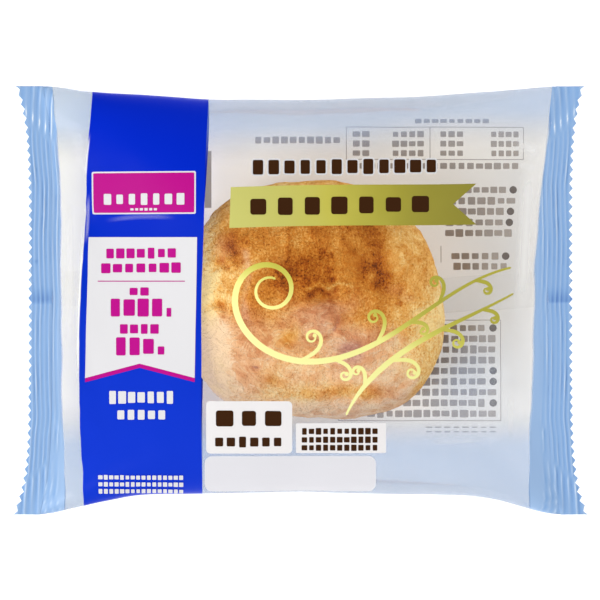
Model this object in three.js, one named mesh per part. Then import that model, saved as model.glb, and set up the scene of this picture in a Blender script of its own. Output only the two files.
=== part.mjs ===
// A cream puff sealed in a pillow pack: one closed solid of the filled film tube,
// its two crimped ends with pinked edges and the folded seam along its back.
// Millimetres, +Z up, lying on its back. Origin: on the rest face, at the middle of the pack.
import * as THREE from 'three';

// Plan of the pack
const FLAT_WIDTH = 113.0; // width of the film tube where it is sealed flat
const WAIST_WIDTH = 103.2; // width over the filled middle, drawn in by the filling
const CORNER_LENGTH = 150.0; // tip to tip along the long edges
const WAIST_LENGTH = 143.6; // tip to tip along the middle
const SWING_END = 66.0; // distance from the middle where the long edges have swung out fully
const SWING_POWER = 4.0; // how late they swing out
const BOW_POWER = 6.0; // how late the cut ends bow out towards their corners

// Ends and seam
const SEAL_DEPTH = 7.0; // crimped strip, from the cut edge inwards
const SEAL_THICKNESS = 0.6; // the two crimped films with their ridges
const TOOTH_COUNT = 47; // teeth along each pinked end
const TOOTH_DEPTH = 0.9;
const SEAM_THICKNESS = 0.45; // three films of the folded seam under the back
const SEAM_FIRST_VALLEY = 23; // the seam lies between these two valleys of the pinked ends
const SEAM_LAST_VALLEY = 27;
const SEAM_EDGE = 0.15; // plan width of the step at each edge of the seam

// Heights
const PACK_HEIGHT = 38.0;
const SEAL_HEIGHT = 17.0; // mid-plane of the sealed ends above the rest face
const BACK_BULGE = 20.0; // how far the back would hang below the seals if nothing flattened it
const CROWN_OFFSET = 3.3; // the filling sits this far towards +X
const END_FALL = 1.7; // how soon the crown falls away towards the sealed ends
const SIDE_POWER = 2.0; // how late it falls away towards the long edges

// Facets
const BODY_STEPS = 24; // cells between the two seals

const SEAL_SHARE = 1 - SEAL_DEPTH / (WAIST_LENGTH / 2 - TOOTH_DEPTH);

/** Half width of the pack at a distance x from its middle. */
function halfWidth(x) {
  const swing = Math.min(1, Math.abs(x) / SWING_END) ** SWING_POWER;
  return WAIST_WIDTH / 2 + (FLAT_WIDTH - WAIST_WIDTH) / 2 * swing;
}

/** Distance from the middle of the pack to the valleys of a pinked end, at v across the width. */
function halfLength(v) {
  const bow = (CORNER_LENGTH - WAIST_LENGTH) / 2;
  return WAIST_LENGTH / 2 - TOOTH_DEPTH + bow * Math.abs(v) ** BOW_POWER;
}

/** 1 over the filling, falling as a bell to the seals and as a bow to the long edges, where it is 0. */
function crown(s, v) {
  const middle = CROWN_OFFSET / (WAIST_LENGTH / 2);
  const reach = SEAL_SHARE - Math.sign(s - middle) * middle;
  const along = Math.min(1, Math.abs(s - middle) / reach);
  return (1 - along ** 2) ** END_FALL * (1 - Math.abs(v) ** SIDE_POWER);
}

/** Point of the front (side 1) or the back (side -1) at s along and v across, both -1 to 1. */
function filmPoint(s, v, side, onSeam) {
  const x = s * halfLength(v);
  const y = v * halfWidth(x);
  const half = SEAL_THICKNESS / 2;
  if (side > 0) {
    return [x, y, SEAL_HEIGHT + half + (PACK_HEIGHT - SEAL_HEIGHT - half) * crown(s, v)];
  }
  const back = SEAL_HEIGHT - half - BACK_BULGE * crown(s, v) - (onSeam ? SEAM_THICKNESS : 0);
  return [x, y, Math.max(0, back)];
}

/** Places across the width: the valleys of the teeth, and a line just outside each seam edge. */
function linesAcross() {
  const lines = [];
  const step = SEAM_EDGE / (FLAT_WIDTH / 2);
  for (let valley = 0; valley <= TOOTH_COUNT; valley += 1) {
    const v = -1 + 2 * valley / TOOTH_COUNT;
    const onSeam = valley >= SEAM_FIRST_VALLEY && valley <= SEAM_LAST_VALLEY;
    if (valley === SEAM_FIRST_VALLEY) {
      lines.push({ v: v - step, onSeam: false, valley: false });
    }
    lines.push({ v, onSeam, valley: true });
    if (valley === SEAM_LAST_VALLEY) {
      lines.push({ v: v + step, onSeam: false, valley: false });
    }
  }
  return lines;
}

/** Places along the pack: the two cut ends, the two seals' inner edges, and the cells between. */
function linesAlong() {
  const lines = [-1];
  for (let i = 0; i <= BODY_STEPS; i += 1) {
    lines.push(SEAL_SHARE * (2 * i / BODY_STEPS - 1));
  }
  lines.push(1);
  return lines;
}

/** The closed solid: a front and a back sheet, walls along both edges, and teeth on both ends. */
function packGeometry() {
  const along = linesAlong();
  const across = linesAcross();
  const positions = [];
  const index = [];
  const add = (point) => positions.push(...point) / 3 - 1;
  const quad = (a, b, c, d) => index.push(a, b, c, a, c, d);
  const sheet = (side) => along.map((s) => across.map((line) => add(filmPoint(s, line.v, side, line.onSeam))));
  const front = sheet(1);
  const back = sheet(-1);

  for (let i = 0; i + 1 < along.length; i += 1) {
    for (let j = 0; j + 1 < across.length; j += 1) {
      quad(front[i][j], front[i + 1][j], front[i + 1][j + 1], front[i][j + 1]);
      quad(back[i][j], back[i][j + 1], back[i + 1][j + 1], back[i + 1][j]);
    }
    const last = across.length - 1;
    quad(back[i][0], back[i + 1][0], front[i + 1][0], front[i][0]);
    quad(front[i][last], front[i + 1][last], back[i + 1][last], back[i][last]);
  }

  for (const end of [-1, 1]) {
    const i = end < 0 ? 0 : along.length - 1;
    const triangle = end < 0 ? (a, b, c) => index.push(a, b, c) : (a, b, c) => index.push(a, c, b);
    let valley = 0;
    for (let next = 1; next < across.length; next += 1) {
      if (across[next].valley) {
        const v = (across[valley].v + across[next].v) / 2;
        const onSeam = across[valley].onSeam && across[next].onSeam;
        const reach = 1 + TOOTH_DEPTH / halfLength(v);
        const tipFront = add(filmPoint(end * reach, v, 1, onSeam));
        const tipBack = add(filmPoint(end * reach, v, -1, onSeam));
        for (let j = valley; j < next; j += 1) {
          triangle(tipFront, front[i][j], front[i][j + 1]);
          triangle(tipBack, back[i][j + 1], back[i][j]);
        }
        triangle(tipBack, back[i][valley], front[i][valley]);
        triangle(tipBack, front[i][valley], tipFront);
        triangle(tipBack, tipFront, front[i][next]);
        triangle(tipBack, front[i][next], back[i][next]);
        valley = next;
      }
    }
  }

  const geometry = new THREE.BufferGeometry();
  geometry.setAttribute('position', new THREE.Float32BufferAttribute(positions, 3));
  geometry.setIndex(index);
  geometry.computeVertexNormals();
  return geometry;
}

const film = new THREE.MeshStandardMaterial({ color: 0xb9cdea, roughness: 0.3, metalness: 0.0 });

const pack = new THREE.Mesh(packGeometry(), film);
pack.name = 'pack';

const packedPuff = new THREE.Group();
packedPuff.add(pack);

export default packedPuff;
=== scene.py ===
"""A cream puff sealed in a printed pillow pack, laid out as an add-on.

The sizes and the functions that work out shapes are in millimetres; make_piece turns them into
metres. X runs along the pack, Y across it and Z up, and the pack lies on its back.

Three sets of coordinates are used:
- place (x, y, z): where a point really is;
- plan (X, Y): where it shows when looked down on from VIEW_HEIGHT above the sealed ends, which is
  how prints are laid out, because the pack's front is crowned;
- film (u, v): where it lies on the flat tube of film, u along the tube and v round it. The front
  has v from -FILM_WIDTH / 2 to FILM_WIDTH / 2, and the back carries on to 3 * FILM_WIDTH / 2.
"""

import functools
import itertools
import math
import typing

import bpy
import numpy as np
from bpy.props import FloatProperty, FloatVectorProperty, PointerProperty
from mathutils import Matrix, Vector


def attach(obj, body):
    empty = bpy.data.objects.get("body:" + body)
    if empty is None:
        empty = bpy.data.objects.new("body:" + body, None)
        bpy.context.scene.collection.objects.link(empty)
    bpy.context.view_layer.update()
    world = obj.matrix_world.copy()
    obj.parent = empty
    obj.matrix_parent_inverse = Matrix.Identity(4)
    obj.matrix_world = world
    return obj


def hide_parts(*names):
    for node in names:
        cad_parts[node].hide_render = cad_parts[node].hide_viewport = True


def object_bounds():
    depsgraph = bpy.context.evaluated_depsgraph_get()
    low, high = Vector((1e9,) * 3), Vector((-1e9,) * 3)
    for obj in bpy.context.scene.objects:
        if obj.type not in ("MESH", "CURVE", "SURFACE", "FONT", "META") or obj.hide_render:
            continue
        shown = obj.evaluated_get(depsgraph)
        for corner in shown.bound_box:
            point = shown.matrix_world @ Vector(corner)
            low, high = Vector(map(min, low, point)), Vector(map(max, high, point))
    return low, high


bl_info = {
    "name": "Packed cream puff",
    "version": (1, 0, 0),
    "blender": (4, 5, 0),
    "location": "3D View > Sidebar > Cream puff",
    "description": "Builds a cream puff in a sealed, printed pillow pack around its CAD solid",
    "category": "Object",
}

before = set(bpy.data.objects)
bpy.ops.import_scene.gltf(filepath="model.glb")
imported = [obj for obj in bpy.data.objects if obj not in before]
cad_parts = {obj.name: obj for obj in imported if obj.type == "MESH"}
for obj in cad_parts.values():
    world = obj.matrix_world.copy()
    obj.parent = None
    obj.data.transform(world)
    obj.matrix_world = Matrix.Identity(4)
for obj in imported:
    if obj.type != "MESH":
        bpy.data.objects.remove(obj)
CAD_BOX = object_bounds()

MM = 0.001
CAD_HIGH = np.array(CAD_BOX[1]) / MM

# Flat film, before the pack is filled
FILM_LENGTH = 153.0
FILM_WIDTH = 115.0  # half of the way round the tube
SEAL_DEPTH = 7.0
SEAL_START = FILM_LENGTH / 2 - SEAL_DEPTH  # along the tube, from its middle
TOOTH_COUNT = 47

# The filled pack's outline
SEAL_HEIGHT = 17.0
END_MIDDLE = 71.8  # from the middle of the pack to the tips of the teeth
END_CORNER = CAD_HIGH[0] + 0.72
END_POWER = 6.0
CORNER_WIDTH = CAD_HIGH[1]
LONG_EDGE_TOP = ((-66.0, CORNER_WIDTH), (-55.0, 54.9), (-24.0, 52.8), (0.0, 52.5), (32.0, 53.5), (44.0, 54.6),
                 (66.0, CORNER_WIDTH))
LONG_EDGE_BOTTOM = ((-66.0, CORNER_WIDTH), (-57.0, 54.1), (-44.0, 51.6), (-26.0, 50.9), (0.0, 50.6),
                    (45.0, 51.6), (52.0, 52.6), (66.0, CORNER_WIDTH))

# The puff
PUFF_CENTRE = np.array((3.7, 0.4, 16.6))
PUFF_SQUARE = 0.9  # how much squarer than an ellipse its plan is towards -Y
PUFF_SHOULDER = 0.5  # how much squarer it is at its upper left
FILM_GAP = 0.6

# Settling the film: a net of threads, coarse then fine
NET_LEVELS = ((31, 24, 160, 10), (61, 48, 120, 14))  # columns, rows of one face, steps, passes in a step
OPENING = 1.5  # how far the flat tube is opened to begin with, reached over OPENING_RUN from the seals
OPENING_RUN = 20.0
UNEVENNESS = 0.15
AIR_VOLUME = 262000.0  # cubic millimetres
AIR_PRESSURE = 0.6  # push on each node, for a net with a pitch of AIR_PITCH along the tube
AIR_PITCH = 5.0
STIFFNESS = 0.05
SLANT_WEIGHT = 0.35  # of a diagonal thread, against the others
SLACK = 0.3  # how much of a push a shortened thread gives, against the pull of a stretched one
PULL_GAIN = 1.4 * 2.2  # shared out among the threads that meet at a node
DAMPING = 0.85  # share of the speed that each step leaves
CARRIED = 0.98  # share of each step's real movement that goes on as speed
FIRST_GROWTH = 0.15  # size of the puff at first; it is full-grown after GROWING of the steps
GROWING = 0.5
FLOOR_GAP = 0.55  # room under the film for the folded seam

# View from which the prints are laid out
VIEW_HEIGHT = 900.0  # camera above the sealed ends
VIEW_WIDTH = 158.4  # of the frame, at the height of the sealed ends
FIND_PASSES = 32

RING_HALF = 96  # cells across one face in the rings of film
CELL = 1.1  # along the tube
END_CELL = 0.35  # along its ridged ends
FADE = 0.9  # over which the sky-blue ends run out into the clear film
BACK_SHADOW_PAINT = 0.9  # greatest strength of the painted shadow of the puff on the back, behind the box of small rows, laid on as wash

PLAIN = 0.38  # ramp value of plain film, where nothing is crimped and no light or shade is painted
CRIMPED = 0.08  # how much is added to it where the film is crimped
RIDGE_SHADE_PAINT = 0.26  # how far the painted light and shade of a ridge move the ramp value from it: paler crests, darker grooves
RIDGES_END, RIDGES_FULL = 3.2, 1.2  # from a seal, where its ridges have run out, and where they begin to
FOLD_CALM = 1.5  # from a long edge, within which they sink
SEAM_LOW, SEAM_HIGH = -0.6, 8.4  # the folded seam, in Y
SEAM_LIFT = 0.06  # of its inner face over the film
LIFT = 0.06  # of each layer of print over the one below
LOWEST_SEAM, LOWEST_PRINT = 0.02, 0.01  # above the floor


# ------------------------------------------------------------------------------------------ numbers
HASH_WEIGHTS = np.array((127.1, 311.7, 74.7))
HASH_SIZE = 43758.5453
SEED_WEIGHT = 37.3
OCTAVE_SHIFT = 31.7  # between the noise of one size and the next
ROUNDING = (-3.0, -1.5, 0.0, 1.5, 3.0)  # steps to either side over which a given line is averaged


def smooth(edge0, edge1, x):
    """0 before edge0, 1 after edge1, and 3t^2 - 2t^3 between them."""
    t = np.clip((x - edge0) / (edge1 - edge0), 0.0, 1.0)
    return t * t * (3.0 - 2.0 * t)


def bell(x, middle, width):
    """A bell curve: e to the minus square of the distance from the middle, in widths."""
    return np.exp(-(((x - middle) / width) ** 2))


def along(points, x):
    """A line through given points (x, value), rounded by averaging over a short stretch either side."""
    xs, values = np.array(points).T
    return sum(np.interp(x + step, xs, values) for step in ROUNDING) / len(ROUNDING)


def hashed(cells, seed):
    """Repeatable numbers from -1 to 1 for whole-number cells: the fraction of a large sine."""
    waves = np.sin(cells @ HASH_WEIGHTS[: cells.shape[-1]] + SEED_WEIGHT * seed)
    return 2.0 * np.modf(np.abs(waves * HASH_SIZE))[0] - 1.0


def noise(points, pitch, seed):
    """Smooth noise from -1 to 1: hashed values at the corners of cells, blended with 3t^2 - 2t^3."""
    scaled = points / pitch
    base = np.floor(scaled)
    t = scaled - base
    t = t * t * (3.0 - 2.0 * t)
    total = 0.0
    for corner in itertools.product((0.0, 1.0), repeat=points.shape[-1]):
        weight = np.prod(np.where(np.array(corner) > 0.5, t, 1.0 - t), axis=-1)
        total = total + weight * hashed(base + corner, seed)
    return total


def rough(points, pitch, octaves, seed):
    """Noise of several sizes, each finer one at half the pitch and half the strength."""
    total = 0.0
    for octave in range(octaves):
        share = 0.5 ** octave
        total = total + share * noise(points + OCTAVE_SHIFT * octave, pitch * share, seed + octave)
    return total


# ----------------------------------------------------------------------------------------- settings
STAGE_LIGHT = 1.22  # what a level white surface sends back under the stage's light
FILM_LOSS = 1.3  # how much brighter the crust is than it shows, as the film keeps back a part of the light


def linear(red, green, blue):
    """The shader colour that shows as a screen colour, 0 to 255, on a level surface of the stage."""
    shares = (channel / 255.0 for channel in (red, green, blue))
    lit = (s / 12.92 if s <= 0.04045 else ((s + 0.055) / 1.055) ** 2.4 for s in shares)
    return tuple(channel / STAGE_LIGHT for channel in lit)


def crust(red, green, blue):
    """A crust colour as it shows through the film."""
    return tuple(FILM_LOSS * channel for channel in linear(red, green, blue))


def in_mm(size):
    """Millimetres of a size that is kept in metres at single precision."""
    return round(size / MM, 4)


def length_setting(name, description, size, least=0.0):
    """A size, given here in millimetres."""
    return FloatProperty(name=name, description=description, unit="LENGTH", default=size * MM, min=least * MM)


def share_setting(name, description, share, most):
    """A share from 0 to most."""
    limits = {"min": 0.0, "max": most}
    return FloatProperty(name=name, description=description, subtype="FACTOR", default=share, **limits)


def power_setting(name, description, watts):
    """The power of a light."""
    return FloatProperty(name=name, description=description, unit="POWER", default=watts, min=0.0)


def colour_setting(name, description, colour, **limits):
    """A colour, given as its shader value."""
    return FloatVectorProperty(name=name, description=description, subtype="COLOR", default=colour, **limits)


class FilmSettings(bpy.types.PropertyGroup):
    """Sizes and colours of the film, its two seals and its seam."""

    tooth_depth: length_setting("Tooth depth", "Depth of the teeth of the two cut ends", 0.9)
    ridge_pitch: length_setting("Ridge pitch", "From one ridge of a seal to the next", 1.3, 0.1)
    ridge_height: length_setting("Ridge height", "Height of a seal's ridges", 0.14)
    seal_thickness: length_setting("Seal thickness", "Thickness of the films of a seal", 0.3)
    seam_thickness: length_setting("Seam thickness", "Thickness of the seam along the back", 0.36)
    shine: share_setting("Shine", "How strongly the clear film reflects", 0.25, 1.0)
    haze: share_setting("Haze", "How milky the clear film is", 0.003, 0.3)
    # Window and strip are partly the film's own absorption and partly painted shadow: as the film casts no
    # shadow, their grey stands in for the pack's shade on the floor, deeper in the window than in the strip.
    window: colour_setting("Window", "Light that the window's film lets through",
                           (0.862, 0.848, 0.820), min=0.0, max=1.0)
    strip: colour_setting("Strip", "Light that the strip at the left lets through",
                          (0.882, 0.868, 0.800), min=0.0, max=1.0)
    milk: colour_setting("Milk", "Colour of the clear film's haze", linear(226, 224, 222))
    # Wash is painted shade: a greyer, darker stop where the tint fades out into the window.
    wash: colour_setting("Wash", "Tint where it fades out into the window", linear(172, 178, 192))
    tint: colour_setting("Tint", "Wash along the window's upper and lower edges", linear(158, 190, 232))
    # The seal's ramp paints light and shade: glint and ridge are painted highlights on the crests, slope,
    # groove and deep are painted shade on the sides, in the grooves and along the seam's step, and plain is
    # the film's own sky blue.
    glint: colour_setting("Glint", "Ridges of a seal that face the light", linear(244, 250, 255))
    ridge: colour_setting("Ridge", "Ridges of a seal", linear(190, 217, 248))
    plain: colour_setting("Plain film", "Sky-blue film beside the seals", linear(160, 191, 230))
    slope: colour_setting("Slope", "Sides of a seal's ridges", linear(140, 178, 226))
    groove: colour_setting("Groove", "Grooves of a seal", linear(124, 163, 216))
    deep: colour_setting("Deep groove", "Deepest grooves, and the step of the seam", linear(100, 140, 202))


class PuffShape(typing.NamedTuple):
    """The puff's plain form about its centre, in millimetres."""

    half_length: float
    half_width: float
    rise: float
    drop: float


class PuffSettings(bpy.types.PropertyGroup):
    """Sizes and colours of the puff. Its three ramps of colour go from little baked to dark."""

    length: length_setting("Length", "Size along the pack", 68.8, 10.0)
    width: length_setting("Width", "Size across the pack", 64.4, 10.0)
    rise: length_setting("Rise", "From the widest level up to the crown", 19.6, 5.0)
    drop: length_setting("Drop", "From the widest level down to the base", 16.0, 5.0)
    relief: share_setting("Relief", "Strength of the crust's folds and cracks", 1.0, 1.5)
    cream: colour_setting("Cream", "Crust that is hardly baked", crust(255, 226, 160))
    straw: colour_setting("Straw", "Crust that is lightly baked", crust(240, 186, 104))
    gold: colour_setting("Gold", "Crust that is evenly baked", crust(217, 146, 60))
    amber: colour_setting("Amber", "Crust that is well baked", crust(190, 112, 34))
    brown: colour_setting("Brown", "Crust that is darkly baked", crust(158, 80, 20))
    dark_brown: colour_setting("Dark brown", "Bottoms of the cracks", crust(106, 52, 18))
    blush: colour_setting("Blush", "Rosy folds, hardly baked", crust(247, 216, 180))
    peach: colour_setting("Peach", "Rosy folds, lightly baked", crust(231, 178, 134))
    rose: colour_setting("Rose", "Rosy folds, evenly baked", crust(208, 142, 98))
    russet: colour_setting("Russet", "Rosy folds, well baked", crust(174, 100, 60))
    dark_russet: colour_setting("Dark russet", "Shadows of the rosy folds", crust(128, 68, 34))
    pale_plum: colour_setting("Pale plum", "Bruised spots, light", crust(226, 186, 168))
    plum: colour_setting("Plum", "Bruised spots", crust(190, 138, 122))
    dark_plum: colour_setting("Dark plum", "Bruised spots, dark", crust(112, 70, 66))

    def shape(self):
        half_length, half_width = in_mm(self.length) / 2, in_mm(self.width) / 2
        return PuffShape(half_length, half_width, in_mm(self.rise), in_mm(self.drop))


class PrintSettings(bpy.types.PropertyGroup):
    """Colours of the inks. A plain ink's setting has its finish's name."""

    white_print: colour_setting("White", "White of the panel and its rows", linear(224, 223, 225))
    label_white: colour_setting("Label white", "White of the window's labels", linear(237, 234, 234))
    frosted_white: colour_setting("Frosted white", "White of the date panel", linear(225, 224, 229))
    magenta_print: colour_setting("Magenta", "Plaque, edge and rows of the panel", linear(187, 20, 137))
    dark_print: colour_setting("Dark", "Dark brown rows of the window", linear(62, 36, 18))
    grey_print: colour_setting("Grey", "Rows and boxes of the back", linear(205, 200, 199))
    dim_print: colour_setting("Dim grey", "Dots of the back's rows", linear(136, 130, 130))
    # The blue band's three stops are painted light: lighter towards the bottom, where the light comes from.
    blue_low: colour_setting("Blue below", "Lower part of the blue band", linear(19, 56, 205))
    blue_middle: colour_setting("Blue", "Middle of the blue band", linear(7, 48, 192))
    blue_high: colour_setting("Blue above", "Upper part of the blue band", linear(3, 40, 198))
    # The gold and ribbon stops are lit and shaded copies of one foil: a painted sheen, light at the lower end
    # and the left, shaded towards the upper end and the right.
    gold_low: colour_setting("Gold below", "Lower part of the flourish", linear(252, 250, 172))
    gold_middle: colour_setting("Gold", "Middle of the flourish", linear(250, 247, 150))
    gold_shade: colour_setting("Gold shade", "Where the flourish turns from the light", linear(214, 209, 92))
    gold_high: colour_setting("Gold above", "Upper part of the flourish", linear(180, 173, 62))
    ribbon_left: colour_setting("Ribbon left", "Left end of the ribbon", linear(203, 200, 112))
    ribbon_middle: colour_setting("Ribbon", "Middle of the ribbon", linear(200, 192, 84))
    ribbon_shade: colour_setting("Ribbon shade", "Where the ribbon turns from light", linear(168, 160, 60))
    ribbon_right: colour_setting("Ribbon right", "Right end of the ribbon", linear(148, 140, 50))


class StageSettings(bpy.types.PropertyGroup):
    """The stage's light."""

    key: power_setting("Key light", "Power of the light at the lower left", 8.3)
    fill: power_setting("Fill light", "Power of the light at the upper right", 9.0)
    side: power_setting("Side light", "Power of the low light at the left", 3.0)
    sky: FloatProperty(name="Sky", description="Strength of the even light all round", default=1.0, min=0.0)


# --------------------------------------------------------------------------------------------- film
def puff_gauge(offset, shape):
    """1 on the puff's plain form and less inside it, for offsets from its centre.

    Its plan is an ellipse towards +Y, and squarer towards -Y and at the upper left. Its side view is a
    squarer curve below than above."""
    reach = np.maximum(np.hypot(offset[..., 0], offset[..., 1]), 1e-9)
    across, along_pack = offset[..., 1] / reach, offset[..., 0] / reach
    power = 2.0 + PUFF_SQUARE * smooth(0.1, -0.5, across)
    power = power + PUFF_SHOULDER * smooth(0.0, 0.6, across) * smooth(0.3, -0.4, along_pack)
    x, y = np.abs(offset[..., 0]) / shape.half_length, np.abs(offset[..., 1]) / shape.half_width
    plan = (x ** power + y ** power) ** (1.0 / power)
    above = offset[..., 2] > 0
    power = np.where(above, 2.2, 3.0)
    height = np.abs(offset[..., 2]) / np.where(above, shape.rise, shape.drop)
    return (plan ** power + height ** power) ** (1.0 / power)


def flat_net(columns, rows):
    """The tube pressed flat, with a small seeded unevenness that decides which way it wrinkles."""
    x = np.linspace(-FILM_LENGTH / 2, FILM_LENGTH / 2, columns)
    k = np.arange(2 * rows)
    step = FILM_WIDTH / rows
    y = np.where(k <= rows, -FILM_WIDTH / 2 + k * step, FILM_WIDTH / 2 - (k - rows) * step)
    net = np.zeros((columns, 2 * rows, 3))
    net[..., 0] = x[:, None]
    net[..., 1] = y
    opening = np.clip((SEAL_START - np.abs(x))[:, None] / OPENING_RUN, 0.0, 1.0)
    net[..., 2] = SEAL_HEIGHT + OPENING * np.sin(np.pi * k / rows) * opening
    net[1:-1, :, 2] += np.random.default_rng(3).normal(0.0, UNEVENNESS, (columns - 2, 2 * rows))
    return net


def finer_net(net, columns, rows):
    """The same tube on a finer net, by straight lines between its nodes."""
    u = np.linspace(0, len(net) - 1, columns)
    first = np.minimum(u.astype(int), len(net) - 2)
    share = (u - first)[:, None, None]
    net = net[first] * (1 - share) + net[first + 1] * share
    k = np.arange(2 * rows) * net.shape[1] / (2 * rows)
    first = k.astype(int)
    share = (k - first)[None, :, None]
    return net[:, first % net.shape[1]] * (1 - share) + net[:, (first + 1) % net.shape[1]] * share


def net_threads(columns, rows):
    """The ends, length and weight of every thread: along, across and both diagonals of each cell."""
    index = np.arange(columns * 2 * rows).reshape(columns, 2 * rows)
    beside = np.roll(index, -1, axis=1)
    du = FILM_LENGTH / (columns - 1)
    dv = FILM_WIDTH / rows
    slant = math.hypot(du, dv)
    groups = (
        (index[:-1], index[1:], du, 1.0),
        (index, beside, dv, 1.0),
        (index[:-1], beside[1:], slant, SLANT_WEIGHT),
        (index[1:], beside[:-1], slant, SLANT_WEIGHT),
    )
    start = np.concatenate([a.ravel() for a, _, _, _ in groups])
    end = np.concatenate([b.ravel() for _, b, _, _ in groups])
    length = np.concatenate([np.full(a.size, size) for a, _, size, _ in groups])
    weight = np.concatenate([np.full(a.size, share) for a, _, _, share in groups])
    return start, end, length, weight


def press(net, cell_area, strength):
    """The push of the air on each node: along the surface, and falling as the tube fills up."""
    across = (np.roll(net, -1, 1) - np.roll(net, 1, 1)) * 0.5
    area = np.cross(np.gradient(net, axis=0), across)
    volume = (net * area).sum() / 3.0
    return strength * (1.0 - volume / AIR_VOLUME) * area / cell_area


def stiffen(net):
    """The film's resistance to a bend: each node is drawn towards the middle of its neighbours."""
    bend = np.roll(net, 1, 1) - 2 * net + np.roll(net, -1, 1)
    force = 2 * bend - np.roll(bend, 1, 1) - np.roll(bend, -1, 1)
    bend = net[:-2] - 2 * net[1:-1] + net[2:]
    force[1:-1] += 2 * bend
    force[:-2] -= bend
    force[2:] -= bend
    return STIFFNESS * force


def hold_off(net, growth, shape):
    """Keeps the net outside the puff, above the floor, and its front above its back."""
    centre = PUFF_CENTRE
    offset = (net - centre) / growth
    gauge = puff_gauge(offset * shape.rise / (shape.rise + FILM_GAP), shape)
    inside = gauge < 1.0
    net[inside] = centre + (net - centre)[inside] / np.maximum(gauge[inside], 1e-6)[:, None]
    net[..., 2] = np.maximum(net[..., 2], FLOOR_GAP)
    rows = net.shape[1] // 2
    front = net[:, 1:rows, 2]
    back = net[:, :rows:-1, 2]
    middle = (front + back) / 2
    gap = np.maximum((front - back) / 2, 0.0)
    net[:, 1:rows, 2] = middle + gap
    net[:, :rows:-1, 2] = middle - gap


def settle(net, steps, passes, growing, shape):
    """Lets the air push the net out step by step, with the threads pulled back to their lengths."""
    columns, around = net.shape[:2]
    rows = around // 2
    start, end, length, weight = net_threads(columns, rows)
    count = net.shape[0] * around
    share = PULL_GAIN / (np.bincount(start, minlength=count) + np.bincount(end, minlength=count))
    du = FILM_LENGTH / (columns - 1)
    u = np.linspace(-FILM_LENGTH / 2, FILM_LENGTH / 2, columns)
    sealed = np.abs(u) > SEAL_START - 1e-6
    mirror = -np.arange(around) % around
    speed = np.zeros_like(net)
    for step in range(steps):
        growth = min(1.0, FIRST_GROWTH + (1.0 - FIRST_GROWTH) * step / (GROWING * steps)) if growing else 1.0
        before = net.copy()
        push = press(net, du * FILM_WIDTH / rows, AIR_PRESSURE * du / AIR_PITCH)
        speed = (speed + push + stiffen(net)) * DAMPING
        net = net + speed
        for _ in range(passes):
            flat = net.reshape(-1, 3)
            reach = flat[end] - flat[start]
            now = np.sqrt((reach ** 2).sum(1)) + 1e-12
            excess = (now - length) / now
            pull = (0.5 * weight * np.where(excess > 0, excess, SLACK * excess))[:, None] * reach
            for axis in range(3):
                moved = np.bincount(start, pull[:, axis], count) - np.bincount(end, pull[:, axis], count)
                flat[:, axis] += moved * share
            net = flat.reshape(columns, around, 3)
            net[sealed] = (net[sealed] + net[sealed][:, mirror]) / 2
            hold_off(net, growth, shape)
        speed = (net - before) * CARRIED
    return net


def fit_outline(net):
    """Moves the settled net's ends and long edges onto the pack's outline, and what is between with them."""
    rows = net.shape[1] // 2
    end = np.abs(net[[0, -1], :, 0])
    outwards = np.abs(net[[0, -1], :, 1] / net[0, :, 1].max())
    wanted = END_MIDDLE + (END_CORNER - END_MIDDLE) * outwards ** END_POWER
    for side, i in ((-1, 0), (1, 1)):
        half = net[..., 0] * side > 0
        share = np.abs(net[..., 0]) / end[i]
        net[..., 0] += np.where(half, side * (wanted[i] - end[i]) * share ** 4, 0.0)
    for fold, outline in ((rows, LONG_EDGE_TOP), (0, LONG_EDGE_BOTTOM)):
        x, y = net[:, fold, 0].copy(), np.abs(net[:, fold, 1])
        stretch = along(outline, net[..., 0]) / np.interp(net[..., 0], x, y)
        this = net[..., 1] > 0 if fold else net[..., 1] < 0
        net[..., 1] *= np.where(this, stretch, 1.0)
    return net


def cubic(t):
    """Weights of four neighbours for a smooth curve through the middle two (Catmull and Rom's)."""
    return np.stack((
        -0.5 * t + t ** 2 - 0.5 * t ** 3,
        1.0 - 2.5 * t ** 2 + 1.5 * t ** 3,
        0.5 * t + 2.0 * t ** 2 - 1.5 * t ** 3,
        -0.5 * t ** 2 + 0.5 * t ** 3,
    ), axis=-1)


def shown(place):
    """Plan (X, Y) of places: scaled by the view's height over its height above them."""
    scale = VIEW_HEIGHT / (VIEW_HEIGHT + SEAL_HEIGHT - place[..., 2])
    return place[..., :2] * scale[..., None]


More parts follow.
